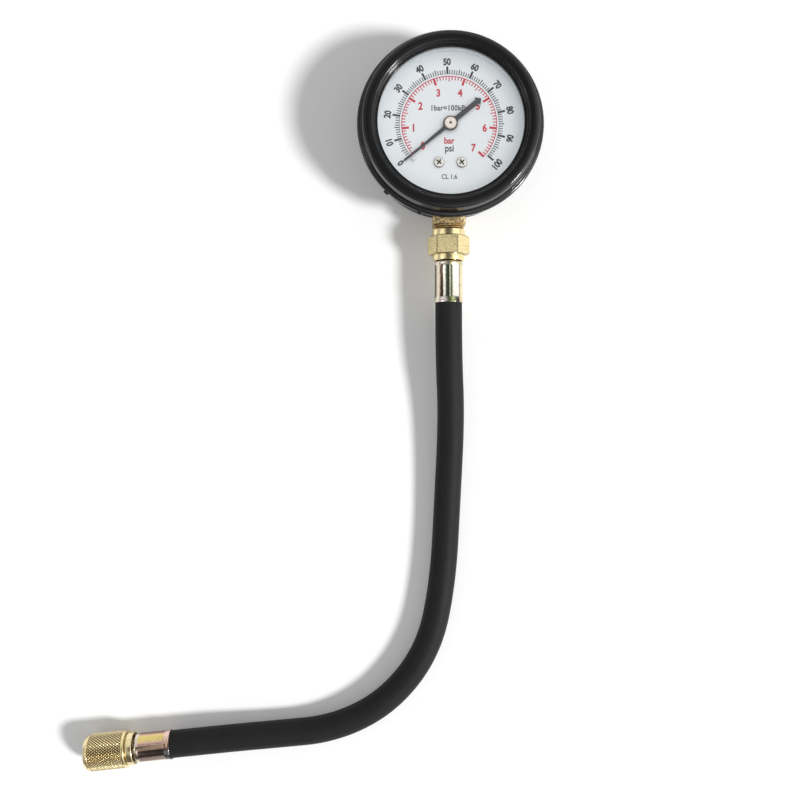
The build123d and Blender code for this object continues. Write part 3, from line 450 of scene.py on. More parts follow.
def mark_size(count):
    """0 for a whole ten, 1 for a five between two tens, 2 for the rest."""
    return 0 if count % 10 == 0 else 1 if count % 5 == 0 else 2


def marks(spans):
    """Copies of one mark. A span is an angle from the dial's top, two radii and a width."""
    copies = []
    for angle, inner, outer, width in spans:
        copy = bpy.data.objects.new("mark", one_mark.data.copy())
        bpy.context.collection.objects.link(copy)
        copy.data.transform(
            Matrix.Translation((print_x * mm, print_y * mm, 0))
            @ Matrix.Rotation(radians(-angle), 4, "Z")
            @ Matrix.Translation((0, (inner + outer) / 2 * mm, ink_middle * mm))
            @ Matrix.Diagonal((width * mm, (outer - inner) * mm, ink_depth * mm, 1))
        )
        copies.append(copy)
    return copies


def arc(inner, outer, first, last):
    """A thin printed arc between two angles from the dial's top."""
    bpy.ops.mesh.primitive_circle_add(vertices=480, radius=inner * mm, location=(0, 0, 0))
    band = bpy.context.object
    bpy.ops.object.mode_set(mode="EDIT")
    bpy.ops.mesh.select_all(action="SELECT")
    bpy.ops.mesh.extrude_edges_move()
    bpy.ops.transform.resize(value=(outer / inner, outer / inner, 1), center_override=(0, 0, 0))
    bpy.ops.mesh.select_all(action="DESELECT")
    bpy.ops.object.mode_set(mode="OBJECT")
    for face in band.data.polygons:
        turn = Vector((0, 1)).angle_signed(face.center.to_2d())
        face.select = not radians(first) < turn < radians(last)
    bpy.ops.object.mode_set(mode="EDIT")
    bpy.ops.mesh.delete(type="FACE")
    bpy.ops.mesh.select_all(action="SELECT")
    bpy.ops.mesh.extrude_region_move(TRANSFORM_OT_translate={"value": (0, 0, ink_depth * mm)})
    bpy.ops.mesh.select_all(action="SELECT")
    bpy.ops.mesh.normals_make_consistent(inside=False)
    bpy.ops.object.mode_set(mode="OBJECT")
    band.data.transform(Matrix.Translation((print_x * mm, print_y * mm, ink_low * mm)))
    return band


def lettered(body, height, place, weight, turn=0, squeeze=0.86, spacing=1.0):
    """A word or number as thin as the ink. Its middle is at a place on the dial, in mm."""
    bpy.ops.object.select_all(action="DESELECT")
    bpy.ops.object.text_add()
    word = bpy.context.object
    word.data.body = body
    word.data.space_character = spacing
    word.data.bevel_depth = weight
    word.data.bevel_resolution = 0
    word.data.extrude = 0.5
    bpy.ops.object.convert(target="MESH")
    word = bpy.context.object
    low = Vector([min(v.co[axis] for v in word.data.vertices) for axis in range(3)])
    high = Vector([max(v.co[axis] for v in word.data.vertices) for axis in range(3)])
    size = height / (high.y - low.y) * mm
    word.data.transform(
        Matrix.Translation((place[0] * mm, place[1] * mm, ink_middle * mm))
        @ Matrix.Rotation(radians(turn), 4, "Z")
        @ Matrix.Diagonal((size * squeeze, size, ink_depth * mm, 1))
        @ Matrix.Translation((-(low.x + high.x) / 2, -(low.y + high.y) / 2, 0))
    )
    return word


def around(radius, angle, drop):
    """Place on the dial at a radius and an angle from the top of the print, a little lower."""
    return (
        print_x + radius * sin(radians(angle)),
        print_y + radius * cos(radians(angle)) - drop,
    )


def printed(name, pieces, finish):
    """Joins marks and words of one colour into one piece of print on the dial."""
    choose(*pieces)
    bpy.ops.object.join()
    bpy.context.object.name = name
    fitted(bpy.context.object, finish, "gauge", "dial_white")


first_mark = 3
psi_arc, psi_numerals = (21.4, 21.55), 26.9
psi_foot, psi_tops, psi_widths = 21.5, (24.7, 23.7, 23.2), (0.9, 0.42, 0.38)
psi_marks = [(zero_angle, psi_foot, psi_tops[0], psi_widths[0])]
for psi in range(first_mark, 101):
    angle = scale_start + psi * psi_step
    size = mark_size(psi)
    psi_marks.append((angle, psi_foot, psi_tops[size], psi_widths[size]))
black_print = marks(psi_marks)
black_print.append(arc(*psi_arc, zero_angle, scale_start + 100 * psi_step))
for psi in range(0, 101, 10):
    angle = max(zero_angle, scale_start + psi * psi_step)
    flipped = 180 if abs(angle) > 100 else 0
    black_print.append(lettered(
        str(psi), 3.05, around(psi_numerals, angle, 0.2 if psi else 0), weight=0.045,
        turn=flipped - angle, squeeze=0.84,
    ))
black_print.append(lettered("psi", 3.8, (-0.4, -10.9), weight=0.02))
printed("black_scale", black_print, black_ink)

bar_arc, bar_arc_excess, bar_numerals = (20.3, 20.65), 1.4, 16.3
half_height, half_width = 1.75, 0.75
bar_feet, bar_top, bar_widths = (17.4, 18.2, 18.9), 20.4, (1.0, 0.42, 0.45)
bar_marks = [(zero_angle, bar_feet[0], bar_top, bar_widths[0])]
for tenth in range(first_mark, 71):
    angle = scale_start + tenth * bar_step / 10
    size = mark_size(tenth)
    bar_marks.append((angle, bar_feet[size], bar_top, bar_widths[size]))
red_print = marks(bar_marks)
red_print.append(arc(*bar_arc, zero_angle, top_angle + bar_arc_excess))
for bar in range(8):
    angle = max(zero_angle, scale_start + bar * bar_step)
    inset = half_height * abs(cos(radians(angle))) + half_width * abs(sin(radians(angle)))
    place = around(bar_numerals - inset, angle, 0.3)
    red_print.append(lettered(str(bar), 3.4, place, weight=0.035))
red_print.append(lettered("bar", 2.8, (-0.4, -7.1), weight=0.03, squeeze=0.9))
printed("red_scale", red_print, red_ink)

grey_print = [
    lettered("1bar=100kPa", 2.5, (-0.3, 7.0), weight=0.03, squeeze=0.84, spacing=1.1),
    lettered("CL 1.6", 2.1, (-0.4, -22.6), weight=0.02, squeeze=0.9),
]
printed("grey_words", grey_print, grey_ink)
bpy.data.objects.remove(one_mark)

# Dial screws and stop pin: nickel-plated screws with pan heads, whose cross recesses stand at
# two angles, with painted shade in the recesses and round the foot of each head, and a
# white-painted pin riveted beside the zero mark.
nickel = Finish("nickel_plate")
nickel_wear = nickel.mottle(800, 4)
# Painted shade: below this height the nickel turns near black, in the cross recesses and round the
# foot of each head.
painted_shade_below, painted_shade_gone_above = 0.02725, 0.02758
clear_of_painted_shade = nickel.rise(nickel.part(nickel.place, (0, 0, 1)), painted_shade_below, painted_shade_gone_above)
nickel_skin = nickel.blend(nickel_wear, (0.36, 0.34, 0.30), (0.86, 0.84, 0.79))
nickel.solid({
    "Base Color": nickel.blend(clear_of_painted_shade, (0.05, 0.045, 0.04), nickel_skin),
    "Metallic": 1.0,
    "Roughness": 0.2 + 0.2 * nickel_wear,
    "Normal": nickel.relief(nickel_wear, 0.0001),
})
screw_x, screw_y, left_turn, right_turn = 4.9, -16.5, 52, 38
dial_screws = smooth_copy("dial_screws", "nickel_dial_screws")
for vertex in dial_screws.data.vertices:
    middle = Vector((screw_x * mm if vertex.co.x > 0 else -screw_x * mm, screw_y * mm, 0))
    turn = radians(right_turn if vertex.co.x > 0 else left_turn)
    vertex.co = middle + Matrix.Rotation(turn, 3, "Z") @ (vertex.co - middle)
fitted(dial_screws, nickel, "gauge", "screw_nickel", "dial_screws")
# The movement's screws lie wholly below that height, so the painted shade darkens them all over.
coat(nickel, "movement_screws")
pin_paint = Finish("pin_paint")
pin_chips = pin_paint.mottle(1800)
pin_paint.solid({
    "Base Color": pin_paint.blend(pin_chips, (0.66, 0.67, 0.66), (0.80, 0.80, 0.78)),
    "Roughness": 0.35 + 0.2 * pin_chips,
})
fitted(smooth_copy("stop_pin", "painted_stop_pin"), pin_paint, "gauge", "pin_white", "stop_pin")

# Pointer: a blade of thin aluminium in matt black, pressed on a brass bush. The arbor's end
# shows in the bush's middle.
matt_black = Finish("matt_black")
matt_grain = matt_black.mottle(2200)
matt_black.solid({
    "Base Color": matt_black.blend(matt_grain, (0.050, 0.050, 0.053), (0.072, 0.072, 0.076)),
    "Roughness": 0.58 + 0.15 * matt_grain,
    "Normal": matt_black.relief(matt_grain, 0.00001),
})
black_pointer = smooth_copy("pointer", "black_pointer")
fitted(black_pointer, matt_black, "pointer_group", "pointer_black", "pointer")
bush_brass = Finish("bush_brass")
bush_rings = bush_brass.mottle(1300, 4)
bush_brass.solid({
    "Base Color": bush_brass.blend(bush_rings, (0.70, 0.62, 0.55), (0.80, 0.72, 0.66)),
    "Metallic": 0.4,
    "Roughness": 0.4 + 0.16 * bush_rings,
    "Normal": bush_brass.relief(bush_rings, 0.000012),
})
brass_bush = smooth_copy("pointer_hub", "brass_bush")
fitted(brass_bush, bush_brass, "pointer_group", "hub_brass", "pointer_hub")

# Movement: brass plates, sector and pillars, steel arbors, link and hairspring, and a
# phosphor-bronze tube with a brass tip. It stands on the socket behind the dial.
watch_brass = Finish("watch_brass")
watch_grain = watch_brass.mottle(900, 3, (6, 1, 1))
watch_brass.solid({
    "Base Color": watch_brass.blend(watch_grain, (0.72, 0.53, 0.24), (0.84, 0.66, 0.34)),
    "Metallic": 1.0,
    "Roughness": 0.24 + 0.16 * watch_grain,
    "Normal": watch_brass.relief(watch_grain, 0.000008),
})
coat(
    watch_brass, "dial_posts", "base_plate", "top_plate", "pillars", "sector", "tube_tip",
    "hairspring_collet",
)
bright_steel = Finish("bright_steel")
steel_grain = bright_steel.mottle(1500, 3)
bright_steel.solid({
    "Base Color": bright_steel.blend(steel_grain, (0.44, 0.44, 0.45), (0.60, 0.60, 0.61)),
    "Metallic": 1.0,
    "Roughness": 0.2 + 0.15 * steel_grain,
})
coat(bright_steel, "pinion_arbor", "sector_arbor", "link", "hairspring", "hairspring_stud")
tube_bronze = Finish("tube_bronze")
bronze_tarnish = tube_bronze.mottle(220, 5)
tube_bronze.solid({
    "Base Color": tube_bronze.blend(bronze_tarnish, (0.50, 0.26, 0.12), (0.68, 0.42, 0.22)),
    "Metallic": 1.0,
    "Roughness": 0.28 + 0.2 * bronze_tarnish,
    "Normal": tube_bronze.relief(bronze_tarnish, 0.00002),
})
coat(tube_bronze, "bourdon_tube")

# Socket: a brass forging, square where a spanner holds it, with a tarnished, sandy skin. Two
# turns of its thread show above the hex fitting.
stem_axis = (0, 0, stem_height), (0, -1, 0)
thread_root, thread_crest = 0.0057, 0.0063
socket_brass = Finish("socket_brass")
sand_grain = socket_brass.mottle(1100, 5)
sand_pits = socket_brass.rise(sand_grain, 0.42, 0.56)
tarnish = socket_brass.rise(socket_brass.mottle(300, 5), 0.38, 0.62)
from_stem_axis = socket_brass.round_axis(*stem_axis)[1]
socket_skin = socket_brass.blend(tarnish, (0.76, 0.54, 0.26), (1.0, 0.86, 0.48))
socket_skin = socket_brass.blend(sand_pits, (0.32, 0.21, 0.10), socket_skin)
# Painted shade: the brass darkens from the thread's crest down to its root, and is dark all over
# nearer the axis.
socket_brass.solid({
    "Base Color": socket_brass.blend(
        socket_brass.rise(from_stem_axis, thread_root, thread_crest), (0.10, 0.06, 0.02),
        socket_skin,
    ),
    "Metallic": 1.0,
    "Roughness": 0.34 + 0.2 * sand_grain,
    "Normal": socket_brass.relief(sand_grain, 0.0003),
})


def along(origin, direction):
    """Place of a turned piece: its axis runs this way from this point, with Y up."""
    axis = Vector(direction).normalized()
    up = Vector((0, 0, 1))
    place = Matrix((up.cross(axis), up, axis)).transposed().to_4x4()
    place.translation = origin
    return place


def thread(name, root, crest, pitch, start, turns, place):
    """A helical ridge: a small trapezoid carried round by a Screw modifier, its ends closed."""
    bpy.ops.object.select_all(action="DESELECT")
    bpy.ops.mesh.primitive_circle_add(vertices=4)
    ridge = bpy.context.object
    ridge.name = name
    foot, top = 0.46, 0.08
    section = ((root, -foot), (crest, -top), (crest, top), (root, foot))
    for vertex, (radius, share) in zip(ridge.data.vertices, section):
        vertex.co = (radius * mm, 0, (start + share * pitch) * mm)
    screw = ridge.modifiers.new("turns", "SCREW")
    screw.steps = screw.render_steps = 64
    screw.screw_offset = pitch * mm
    screw.iterations = turns
    bpy.ops.object.modifier_apply(modifier="turns")
    bpy.ops.object.mode_set(mode="EDIT")
    bpy.ops.mesh.select_all(action="SELECT")
    bpy.ops.mesh.remove_doubles(threshold=joining_distance)
    bpy.ops.mesh.fill_holes(sides=0)
    bpy.ops.mesh.normals_make_consistent(inside=False)
    bpy.ops.object.mode_set(mode="OBJECT")
    ridge.data.transform(place)
    bpy.ops.object.shade_smooth_by_angle(angle=radians(30))
    return ridge


stem = along(*stem_axis)
fitted(smooth_copy("socket", "brass_socket"), socket_brass, "gauge", "socket_brass", "socket")
socket_thread = thread("socket_thread", 5.7, 6.56, 0.95, 41.4, 2, stem)
fitted(socket_thread, socket_brass, "gauge", "socket_brass")

# Hex fitting: turned and milled from brass bar, with a bright collar each side of the
# hexagon, whose faces are grainy. It screws on to the socket and goes into the hose.
hex_start, hex_end, shadow_line_width, seam_margin = 0.0462, 0.0543, 0.0007, 0.0002
hex_edge_radii, hex_root_radii = (0.00895, 0.0091), (0.0058, 0.0066)
bar_brass = Finish("bar_brass")
bar_grain = bar_brass.mottle(1900, 4)
bar_shade = bar_brass.mottle(300, 3)
bar_along, bar_radius = bar_brass.round_axis(*stem_axis)[:2]
bar_milled = (bar_along > hex_start + seam_margin) * (bar_along < hex_end - seam_margin)
# Painted shade: dark lines where the collars meet the hexagon, darker towards the hexagon's
# corners, and dark near the axis. The milled faces also take darker pits from their grain.
collar_shadow_lines = [bar_brass.near(bar_along, seam, shadow_line_width) for seam in (hex_start, hex_end)]
bar_pits_and_shade = (
    0.8 * collar_shadow_lines[0] + 0.8 * collar_shadow_lines[1]
    + 0.45 * bar_brass.rise(bar_radius, *hex_edge_radii)
    + 1 - bar_brass.rise(bar_radius, *hex_root_radii)
    + 0.4 * bar_milled * bar_brass.rise(bar_grain, 0.52, 0.40)
)
bar_skin = bar_brass.blend(bar_shade, (0.92, 0.75, 0.37), (1.0, 0.87, 0.52))
bar_brass.solid({
    "Base Color": bar_brass.blend(bar_pits_and_shade, bar_skin, (0.13, 0.08, 0.03)),
    "Metallic": 1.0,
    "Roughness": 0.1 + 0.05 * bar_shade + 0.3 * bar_milled,
    "Normal": bar_brass.relief(bar_grain * (0.03 + 0.97 * bar_milled), 0.00022),
})
brass_hex_fitting = smooth_copy("hex_fitting", "brass_hex_fitting")
fitted(brass_hex_fitting, bar_brass, "gauge", "fitting_brass", "hex_fitting")

# Ferrules: steel sleeves in yellow zinc, crimped flat on eight sides over the hose, with a
# round shoulder at the fitting and a flared mouth. Round the crimps and the mouth, bands of
# pink, green, white and dark are painted reflections and painted highlights, fixed to the
# sleeve by its angle. The passivation shimmers in clouds of pink, green and yellow on the
# shoulder.
crimps_begin, flare_begins, reflection_sway = (0.0017, 0.0022), (0.0026, 0.0021), 0.12


def zinc(name, origin, direction, length, crimp_reflections, mouth):
    """Yellow zinc on a ferrule: painted reflections and highlights by degrees round its crimps,
    and round its mouth, over clouds and specks of its own.
    """
    finish = Finish(name)
    fleck = finish.mottle(1500, 4)
    along_it, _, angle = finish.round_axis(origin, direction)
    swaying = angle + reflection_sway * finish.mottle(1100, 4) - reflection_sway / 2
    turn = swaying * (0.5 / pi) + 0.5
    colours = [
        finish.node("ShaderNodeValToRGB", {"stops": [
            (0.5 + degrees / 360, colour) for degrees, colour in stops
        ]}, {"Fac": turn})
        for stops in (crimp_reflections, mouth)
    ]
    bloom = finish.node("ShaderNodeValToRGB", {"stops": [
        (0.34, (0.72, 0.66, 0.46)),
        (0.44, (0.84, 0.74, 0.46)),
        (0.51, (0.82, 0.78, 0.68)),
        (0.58, (0.80, 0.64, 0.55)),
        (0.68, (0.70, 0.72, 0.52)),
    ]}, {"Fac": finish.mottle(260, 3)})
    crimped = finish.rise(along_it, *crimps_begin)
    flared = finish.rise(along_it, *(length - inset for inset in flare_begins))
    colour = finish.blend(crimped, bloom, colours[0])
    colour = finish.blend(flared, colour, colours[1])
    speck = finish.rise(fleck, 0.62, 0.68)
    finish.solid({
        "Base Color": finish.blend(0.75 * speck, colour, (0.05, 0.05, 0.03)),
        "Metallic": 1.0,
        "Roughness": 0.1 + 0.12 * fleck,
        "Normal": finish.relief(fleck, 0.00004),
    })
    return finish


gauge_ferrule_start, gauge_ferrule_length, end_ferrule_length = 0.0571, 0.0185, 0.016
gauge_shoulder = 0, -gauge_ferrule_start, stem_height
# Painted reflections by angle, round the crimps and then round the mouth: light and dark bands
# with painted highlights.
gauge_zinc = zinc("gauge_ferrule_zinc", gauge_shoulder, (0, -1, 0), gauge_ferrule_length, (
    (-180, (0.80, 0.72, 0.48)),
    (-110, (0.78, 0.70, 0.50)),
    (-78, (0.12, 0.10, 0.07)),
    (-60, (0.72, 0.64, 0.46)),
    (-52, (0.82, 0.74, 0.58)),
    (-43, (0.95, 0.78, 0.66)),
    (-39, (0.05, 0.03, 0.02)),
    (-28, (0.05, 0.03, 0.02)),
    (-24, (0.90, 0.88, 0.76)),
    (-18, (0.95, 0.94, 0.82)),
    (-14, (0.14, 0.16, 0.12)),
    (-3, (0.05, 0.06, 0.04)),
    (1, (0.92, 0.93, 0.74)),
    (3, (0.86, 0.88, 0.66)),
    (6, (0.07, 0.09, 0.05)),
    (12, (0.16, 0.16, 0.10)),
    (18, (0.86, 0.84, 0.74)),
    (44, (0.86, 0.84, 0.74)),
    (48, (0.14, 0.10, 0.05)),
    (54, (0.95, 0.84, 0.52)),
    (80, (0.92, 0.80, 0.50)),
    (110, (0.16, 0.13, 0.08)),
    (140, (0.85, 0.76, 0.50)),
    (180, (0.80, 0.72, 0.48)),
), (
    (-180, (0.75, 0.62, 0.50)),
    (-60, (0.80, 0.74, 0.56)),
    (-35, (0.86, 0.76, 0.72)),
    (-10, (0.72, 0.66, 0.62)),
    (0, (0.40, 0.42, 0.18)),
    (14, (0.50, 0.54, 0.26)),
    (28, (0.14, 0.15, 0.12)),
    (42, (0.04, 0.04, 0.03)),
    (52, (0.90, 0.72, 0.52)),
    (180, (0.75, 0.62, 0.50)),
))
end_mouth = Vector((-0.1245, -0.274, 0.008))
end_axis = Vector((-0.994457, -0.105141, 0)).normalized()
end_shoulder = end_mouth + end_ferrule_length * end_axis
# Painted reflections by angle, round the end ferrule's crimps and then round its mouth.
end_zinc = zinc("end_ferrule_zinc", end_shoulder, -end_axis, end_ferrule_length, (
    (-180, (0.70, 0.62, 0.42)),
    (-110, (0.20, 0.14, 0.10)),
    (-75, (0.10, 0.08, 0.06)),
    (-68, (0.85, 0.75, 0.50)),
    (-63, (0.80, 0.66, 0.45)),
    (-58, (0.24, 0.17, 0.14)),
    (-10, (0.28, 0.20, 0.17)),
    (-4, (0.07, 0.06, 0.05)),
    (2, (0.08, 0.06, 0.05)),
    (7, (0.56, 0.38, 0.28)),
    (22, (0.72, 0.50, 0.38)),
    (27, (0.45, 0.28, 0.25)),
    (31, (0.50, 0.32, 0.28)),
    (36, (0.78, 0.52, 0.38)),
    (48, (0.84, 0.68, 0.24)),
    (62, (0.84, 0.68, 0.24)),
    (76, (0.70, 0.46, 0.36)),
    (110, (0.30, 0.20, 0.16)),
    (180, (0.70, 0.62, 0.42)),
), (
    (-180, (0.60, 0.50, 0.40)),
    (-80, (0.10, 0.08, 0.07)),
    (-30, (0.08, 0.07, 0.06)),
    (-20, (0.95, 0.95, 0.90)),
    (-8, (0.98, 0.98, 0.95)),
    (0, (0.14, 0.09, 0.08)),
    (20, (0.55, 0.36, 0.26)),
    (45, (0.90, 0.66, 0.56)),
    (80, (0.80, 0.58, 0.50)),
    (180, (0.60, 0.50, 0.40)),
))


def zone(piece, chosen):
    """In edit mode, leaves selected the vertices whose place in mm is as chosen says."""
    bpy.ops.object.mode_set(mode="EDIT")
    bpy.ops.mesh.select_mode(type="VERT")
    bpy.ops.mesh.select_all(action="DESELECT")
    bpy.ops.object.mode_set(mode="OBJECT")
    for vertex in piece.data.vertices:
        vertex.select = chosen(*(vertex.co / mm))
    bpy.ops.object.mode_set(mode="EDIT")


crimps, half_crimp = 8, radians(22.5)
crimp_plane, crimp_half_width, crimp_share, ridge_share = 5.9, 2.3, 0.7, 1.02
skin_radius, skin_reach = 5.83, 5.6


def ferrule(name, length, place):
    """A ferrule whose shoulder is at 0 and whose mouth is at its length, in metres."""
    length = length / mm
    sleeve = turned(name, [
        (3.65, 0, 0.1), (6.25, 0, 1.0), (6.25, 1.5, 0), (6.25, 1.9, 0), (6.25, 2.3, 0),
        (6.25, length - 2.9, 0), (6.25, length - 2.5, 0), (6.25, length - 2.1, 0),
        (6.25, length - 1.4, 0.4), (6.45, length - 0.5, 0.4), (6.45, length, 0.15),
        (6.05, length, 0.1), (6.05, length - 1.6, 0), (5.5, length - 1.7, 0), (5.5, 0.9, 0),
        (3.65, 0.9, 0.1),
    ], 160)
    bands = ((1.8, length - 2.4, 0.99), (2.2, length - 2.8, 0.985))
    for low, high, shrink in bands:
        zone(sleeve, lambda x, y, z: low < z < high and hypot(x, y) > skin_radius)
        bpy.ops.transform.resize(value=(shrink, shrink, 1), center_override=(0, 0, 0))
    for crimp in range(crimps):
        for low, high, shrink in bands:
            zone(sleeve, lambda x, y, z: (
                low < z < high and x > skin_reach and abs(y) < crimp_half_width
            ))
            bpy.ops.transform.resize(
                value=(crimp_share, 1, 1), center_override=(crimp_plane * mm, 0, 0)
            )
        bpy.ops.mesh.select_all(action="SELECT")
        bpy.ops.transform.rotate(value=half_crimp, orient_axis="Z", center_override=(0, 0, 0))
        zone(sleeve, lambda x, y, z: (
            bands[0][0] < z < bands[0][1] and x > skin_reach and abs(y) < 0.05
        ))
        bpy.ops.transform.resize(value=(ridge_share, 1, 1), center_override=(0, 0, 0))
        bpy.ops.mesh.select_all(action="SELECT")
        bpy.ops.transform.rotate(value=half_crimp, orient_axis="Z", center_override=(0, 0, 0))
        bpy.ops.object.mode_set(mode="OBJECT")
    sleeve.data.transform(place)
    bpy.ops.object.shade_smooth_by_angle(angle=radians(40))
    return sleeve


gauge_sleeve = ferrule(
    "gauge_sleeve", gauge_ferrule_length,
    along(gauge_shoulder, (0, -1, 0)) @ Matrix.Rotation(half_crimp, 4, "Z"),
)
fitted(gauge_sleeve, gauge_zinc, "gauge", "yellow_zinc", "gauge_ferrule")
end_sleeve = ferrule(
    "end_sleeve", end_ferrule_length,
    along(end_shoulder, end_axis) @ Matrix.Rotation(pi, 4, "Y"),
)
fitted(end_sleeve, end_zinc, "gauge", "yellow_zinc", "end_ferrule")

# End stem and seal: a zinc-plated steel stem whose flange holds the coupling nut, and a
# black rubber washer on its nose, seen through the nut's open end.
# The stem wears the end ferrule's zinc, and with it the painted reflections by angle.
fitted(smooth_copy("end_stem", "zinc_end_stem"), end_zinc, "gauge", "yellow_zinc", "end_stem")
coat(rubber, "seal_washer")

# Coupling nut: turned brass with a diamond knurl, a plain collar and groove at the hose, a
# chamfered front and an inside thread. It turns freely on the end stem.
knurl_low, knurl_high, knurl_count, knurl_rows = 21.0, 36.2, 42, 10
knurl_radius, knurl_foot, diamond_inset, diamond_height = 7.68, 7.2, 0.31, 0.34
grooves_start, grooves_end, groove_radii, neck_radii = (
    0.0212, 0.0361, (0.00796, 0.00772), (0.0070, 0.0066)
)
swivel = along(end_mouth, end_axis)
nut_brass = Finish("nut_brass")
nut_grain = nut_brass.mottle(1800, 4)
nut_shade = nut_brass.mottle(240, 4)
nut_along, nut_radius = nut_brass.round_axis(end_mouth, end_axis)[:2]
knurled = (nut_along > grooves_start) * (nut_along < grooves_end)
# Painted shade: the brass darkens in the knurl's valleys, and within 7 mm of the axis, in the
# groove, the bore and the thread.
knurl_valley_shade = nut_brass.rise(nut_radius, *groove_radii) * knurled
neck_shade = nut_brass.rise(nut_radius, *neck_radii)
nut_painted_shade = 0.92 * knurl_valley_shade + 0.9 * neck_shade
nut_skin = nut_brass.blend(nut_shade, (0.90, 0.73, 0.38), (1.0, 0.87, 0.54))
nut_brass.solid({
    "Base Color": nut_brass.blend(nut_painted_shade, nut_skin, (0.10, 0.06, 0.02)),
    "Metallic": 1.0,
    "Roughness": 0.14 + 0.12 * nut_grain,
    "Normal": nut_brass.relief(nut_grain, 0.00002),
})
nut_body = turned("nut_body", [
    (4.6, 16.5, 0.1), (7.1, 16.5, 0.35), (7.1, 19.1, 0.2), (6.7, 19.2, 0.1), (6.7, 19.9, 0.1),
    (7.95, 19.9, 0.3), (7.95, 20.9, 0.15), (7.6, 21.1, 0), (7.6, 36.1, 0), (7.85, 36.3, 0.1),
    (7.85, 36.8, 0.3), (7.2, 38.2, 0.2), (6.25, 38.2, 0.1), (5.6, 37.5, 0), (5.6, 25.5, 0),
    (5.9, 25.5, 0), (5.9, 20.5, 0.2), (4.6, 20.5, 0.1),
], 128, swivel)
knurl_length = knurl_high - knurl_low
bpy.ops.object.select_all(action="DESELECT")
bpy.ops.mesh.primitive_cylinder_add(
    vertices=knurl_count, radius=knurl_radius * mm, depth=knurl_length * mm,
    end_fill_type="NOTHING",
)
knurl = bpy.context.object


def lines(chosen):
    """In edit mode, leaves selected the knurl's edges whose two ends in mm are as chosen says."""
    bpy.ops.object.mode_set(mode="EDIT")
    bpy.ops.mesh.select_mode(type="EDGE")
    bpy.ops.mesh.select_all(action="DESELECT")
    bpy.ops.object.mode_set(mode="OBJECT")
    for edge in knurl.data.edges:
        edge.select = chosen(*(knurl.data.vertices[index].co / mm for index in edge.vertices))
    bpy.ops.object.mode_set(mode="EDIT")


lines(lambda first, second: abs(first.z - second.z) > 1)
bpy.ops.mesh.subdivide(number_cuts=knurl_rows - 1)
bpy.ops.mesh.select_all(action="SELECT")
bpy.ops.mesh.poke()
lines(
    lambda first, second: min(first.to_2d().length, second.to_2d().length) > knurl_radius - 0.01
    and abs(first.z + second.z) < knurl_length - 0.1
)
bpy.ops.mesh.dissolve_edges(use_verts=False)
bpy.ops.mesh.select_mode(type="FACE")
bpy.ops.mesh.select_all(action="SELECT")
bpy.ops.mesh.inset(
    thickness=diamond_inset * mm, depth=diamond_height * mm, use_individual=True
)
bpy.ops.mesh.select_mode(type="EDGE")
for round_in in (knurl_foot / knurl_radius, None):
    bpy.ops.mesh.select_all(action="DESELECT")
    bpy.ops.mesh.select_non_manifold(
        extend=False, use_wire=False, use_boundary=True, use_multi_face=False,
        use_non_contiguous=False, use_verts=False,
    )
    if round_in:
        bpy.ops.mesh.extrude_edges_move()
        bpy.ops.transform.resize(value=(round_in, round_in, 1), center_override=(0, 0, 0))
    else:
        bpy.ops.mesh.bridge_edge_loops()
bpy.ops.mesh.select_all(action="SELECT")
bpy.ops.mesh.normals_make_consistent(inside=False)
bpy.ops.object.mode_set(mode="OBJECT")
knurl.data.transform(swivel @ Matrix.Translation((0, 0, (knurl_low + knurl_high) / 2 * mm)))
nut_thread = thread("nut_thread", 5.64, 5.0, 1.27, 26.2, 9, swivel)
choose(nut_thread, knurl, nut_body)
bpy.ops.object.join()
nut_body.name = "knurled_nut"
fitted(nut_body, nut_brass, "nut", "nut_brass", "coupling_nut")

# Bench: a plain white board that the gauge and the hose lie on. It glows a little, for the
# camera and for what mirrors it, so that it is as white as the background.
bpy.ops.object.select_all(action="DESELECT")
bpy.ops.mesh.primitive_plane_add(size=6)
bench = bpy.context.object
bench.name = "bench"
white_board = Finish("white_board")
board_fibres = white_board.mottle(500, 3)
board_paint = white_board.node("ShaderNodeBsdfPrincipled", {}, {
    "Base Color": white_board.blend(board_fibres, (0.92, 0.92, 0.92), (0.94, 0.94, 0.94)),
    "Roughness": 0.75 + 0.1 * board_fibres,
})


def rays(finish):
    """1 on rays that come from the camera, and 1 on rays that come from a mirroring piece."""
    seen = finish.node("ShaderNodeLightPath", output="Is Camera Ray")
    return seen, Signal(finish, seen.node, "Is Glossy Ray")


board_seen, board_mirrored = rays(white_board)
board_glow = white_board.node(
    "ShaderNodeEmission", {}, {"Strength": 0.16 * board_seen + 0.12 * board_mirrored}
)
white_board.surface(
    white_board.node("ShaderNodeAddShader", {}, {0: board_paint, 1: board_glow})
)
bench.data.materials.append(white_board.stuff)

# Lamps: a large soft one on the right, for all but the pieces behind the window, and an even
# glow from above for those alone, so that the rim throws no shadow on the dial.
behind_window = (
    "milky_gasket", "black_scale", "red_scale", "grey_words", "nickel_dial_screws",
    "painted_stop_pin", "black_pointer", "brass_bush",
)


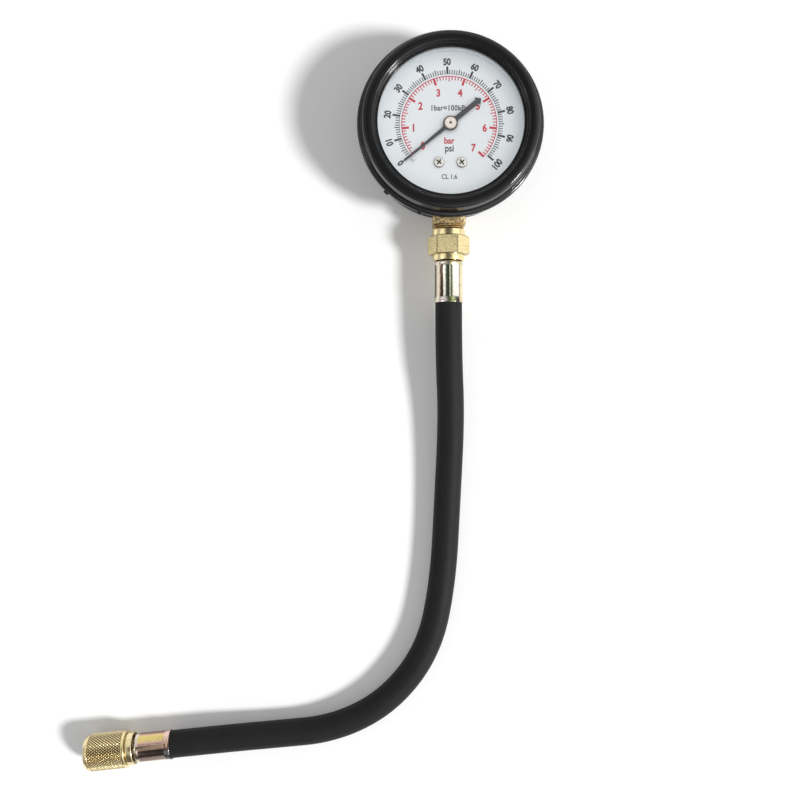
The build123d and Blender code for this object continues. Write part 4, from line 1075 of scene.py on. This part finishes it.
def sun(name, direction, width, energy, state):
    """A lamp this many degrees wide, which lights only what is behind the window, or all else."""
    lamp = bpy.data.objects.new(name, bpy.data.lights.new(name, "SUN"))
    lamp.data.angle = radians(width)
    lamp.data.energy = energy
    lamp.rotation_euler = direction.to_track_quat("Z", "Y").to_euler()
    bpy.context.collection.objects.link(lamp)
    receivers = bpy.data.collections.new(name + "_pieces")
    for piece in behind_window:
        receivers.objects.link(bpy.data.objects[piece])
    receivers.objects.link(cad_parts["dial"])
    for item in receivers.collection_objects:
        item.light_linking.link_state = state
    lamp.light_linking.receiver_collection = receivers


lamp_turn, lamp_height = radians(-21.8), radians(41.8)
lamp_direction = Vector((
    cos(lamp_turn) * cos(lamp_height), sin(lamp_turn) * cos(lamp_height), sin(lamp_height)
))
sun("soft_lamp", lamp_direction, 10, 2.9, "EXCLUDE")
sun("window_glow", lamp_direction + Vector((-0.2, 0.2, 1)), 110, 2.0, "INCLUDE")

# Surroundings: an even tent that lights the shadows. Metal and enamel mirror its screens
# beside the lamp, on the left and behind, its dark places overhead and in front, and small
# bright lamps that give the bezel its highlights.
tent = Finish("photo_tent", "World", "Generated")


def patch(direction, edge, core):
    """A round patch of the surroundings, between two half-angles in degrees."""
    near = tent.part(tent.place, Vector(direction).normalized())
    return tent.rise(near, cos(radians(edge)), cos(radians(core)))


screens = (
    (0.68, lamp_direction, 50, 42),
    (0.48, (-0.75, 0.1, 0.65), 22, 15),
    (0.36, (-0.1, 0.9, 0.45), 45, 25),
)
dark_places = (
    (0.72, (0.03, 0.26, 0.965), 27, 19),
    (0.75, (-0.25, -0.88, 0.4), 48, 30),
)
bright_lamps = (
    (7, (0.79, -0.05, 0.61), 6, 5),
    (7, (0.74, -0.16, 0.65), 6, 5),
    (5, (-0.78, -0.02, 0.62), 6, 5),
)
mirrored = 0.5
for strength, *place in screens:
    mirrored = mirrored + strength * patch(*place)
for strength, *place in dark_places:
    mirrored = mirrored * (1 - strength * patch(*place))
for strength, *place in bright_lamps:
    mirrored = mirrored + strength * patch(*place)
tent_seen, tent_mirrored = rays(tent)
tent_level = 0.336
tent_light = tent_level + (1 - tent_level) * tent_seen + tent_mirrored * (mirrored - tent_level)
tent.surface(
    tent.node("ShaderNodeBackground", {}, {"Color": (1, 1, 1, 1), "Strength": tent_light})
)
bpy.context.scene.world = tent.stuff

bpy.context.scene.view_settings.view_transform = "Standard"
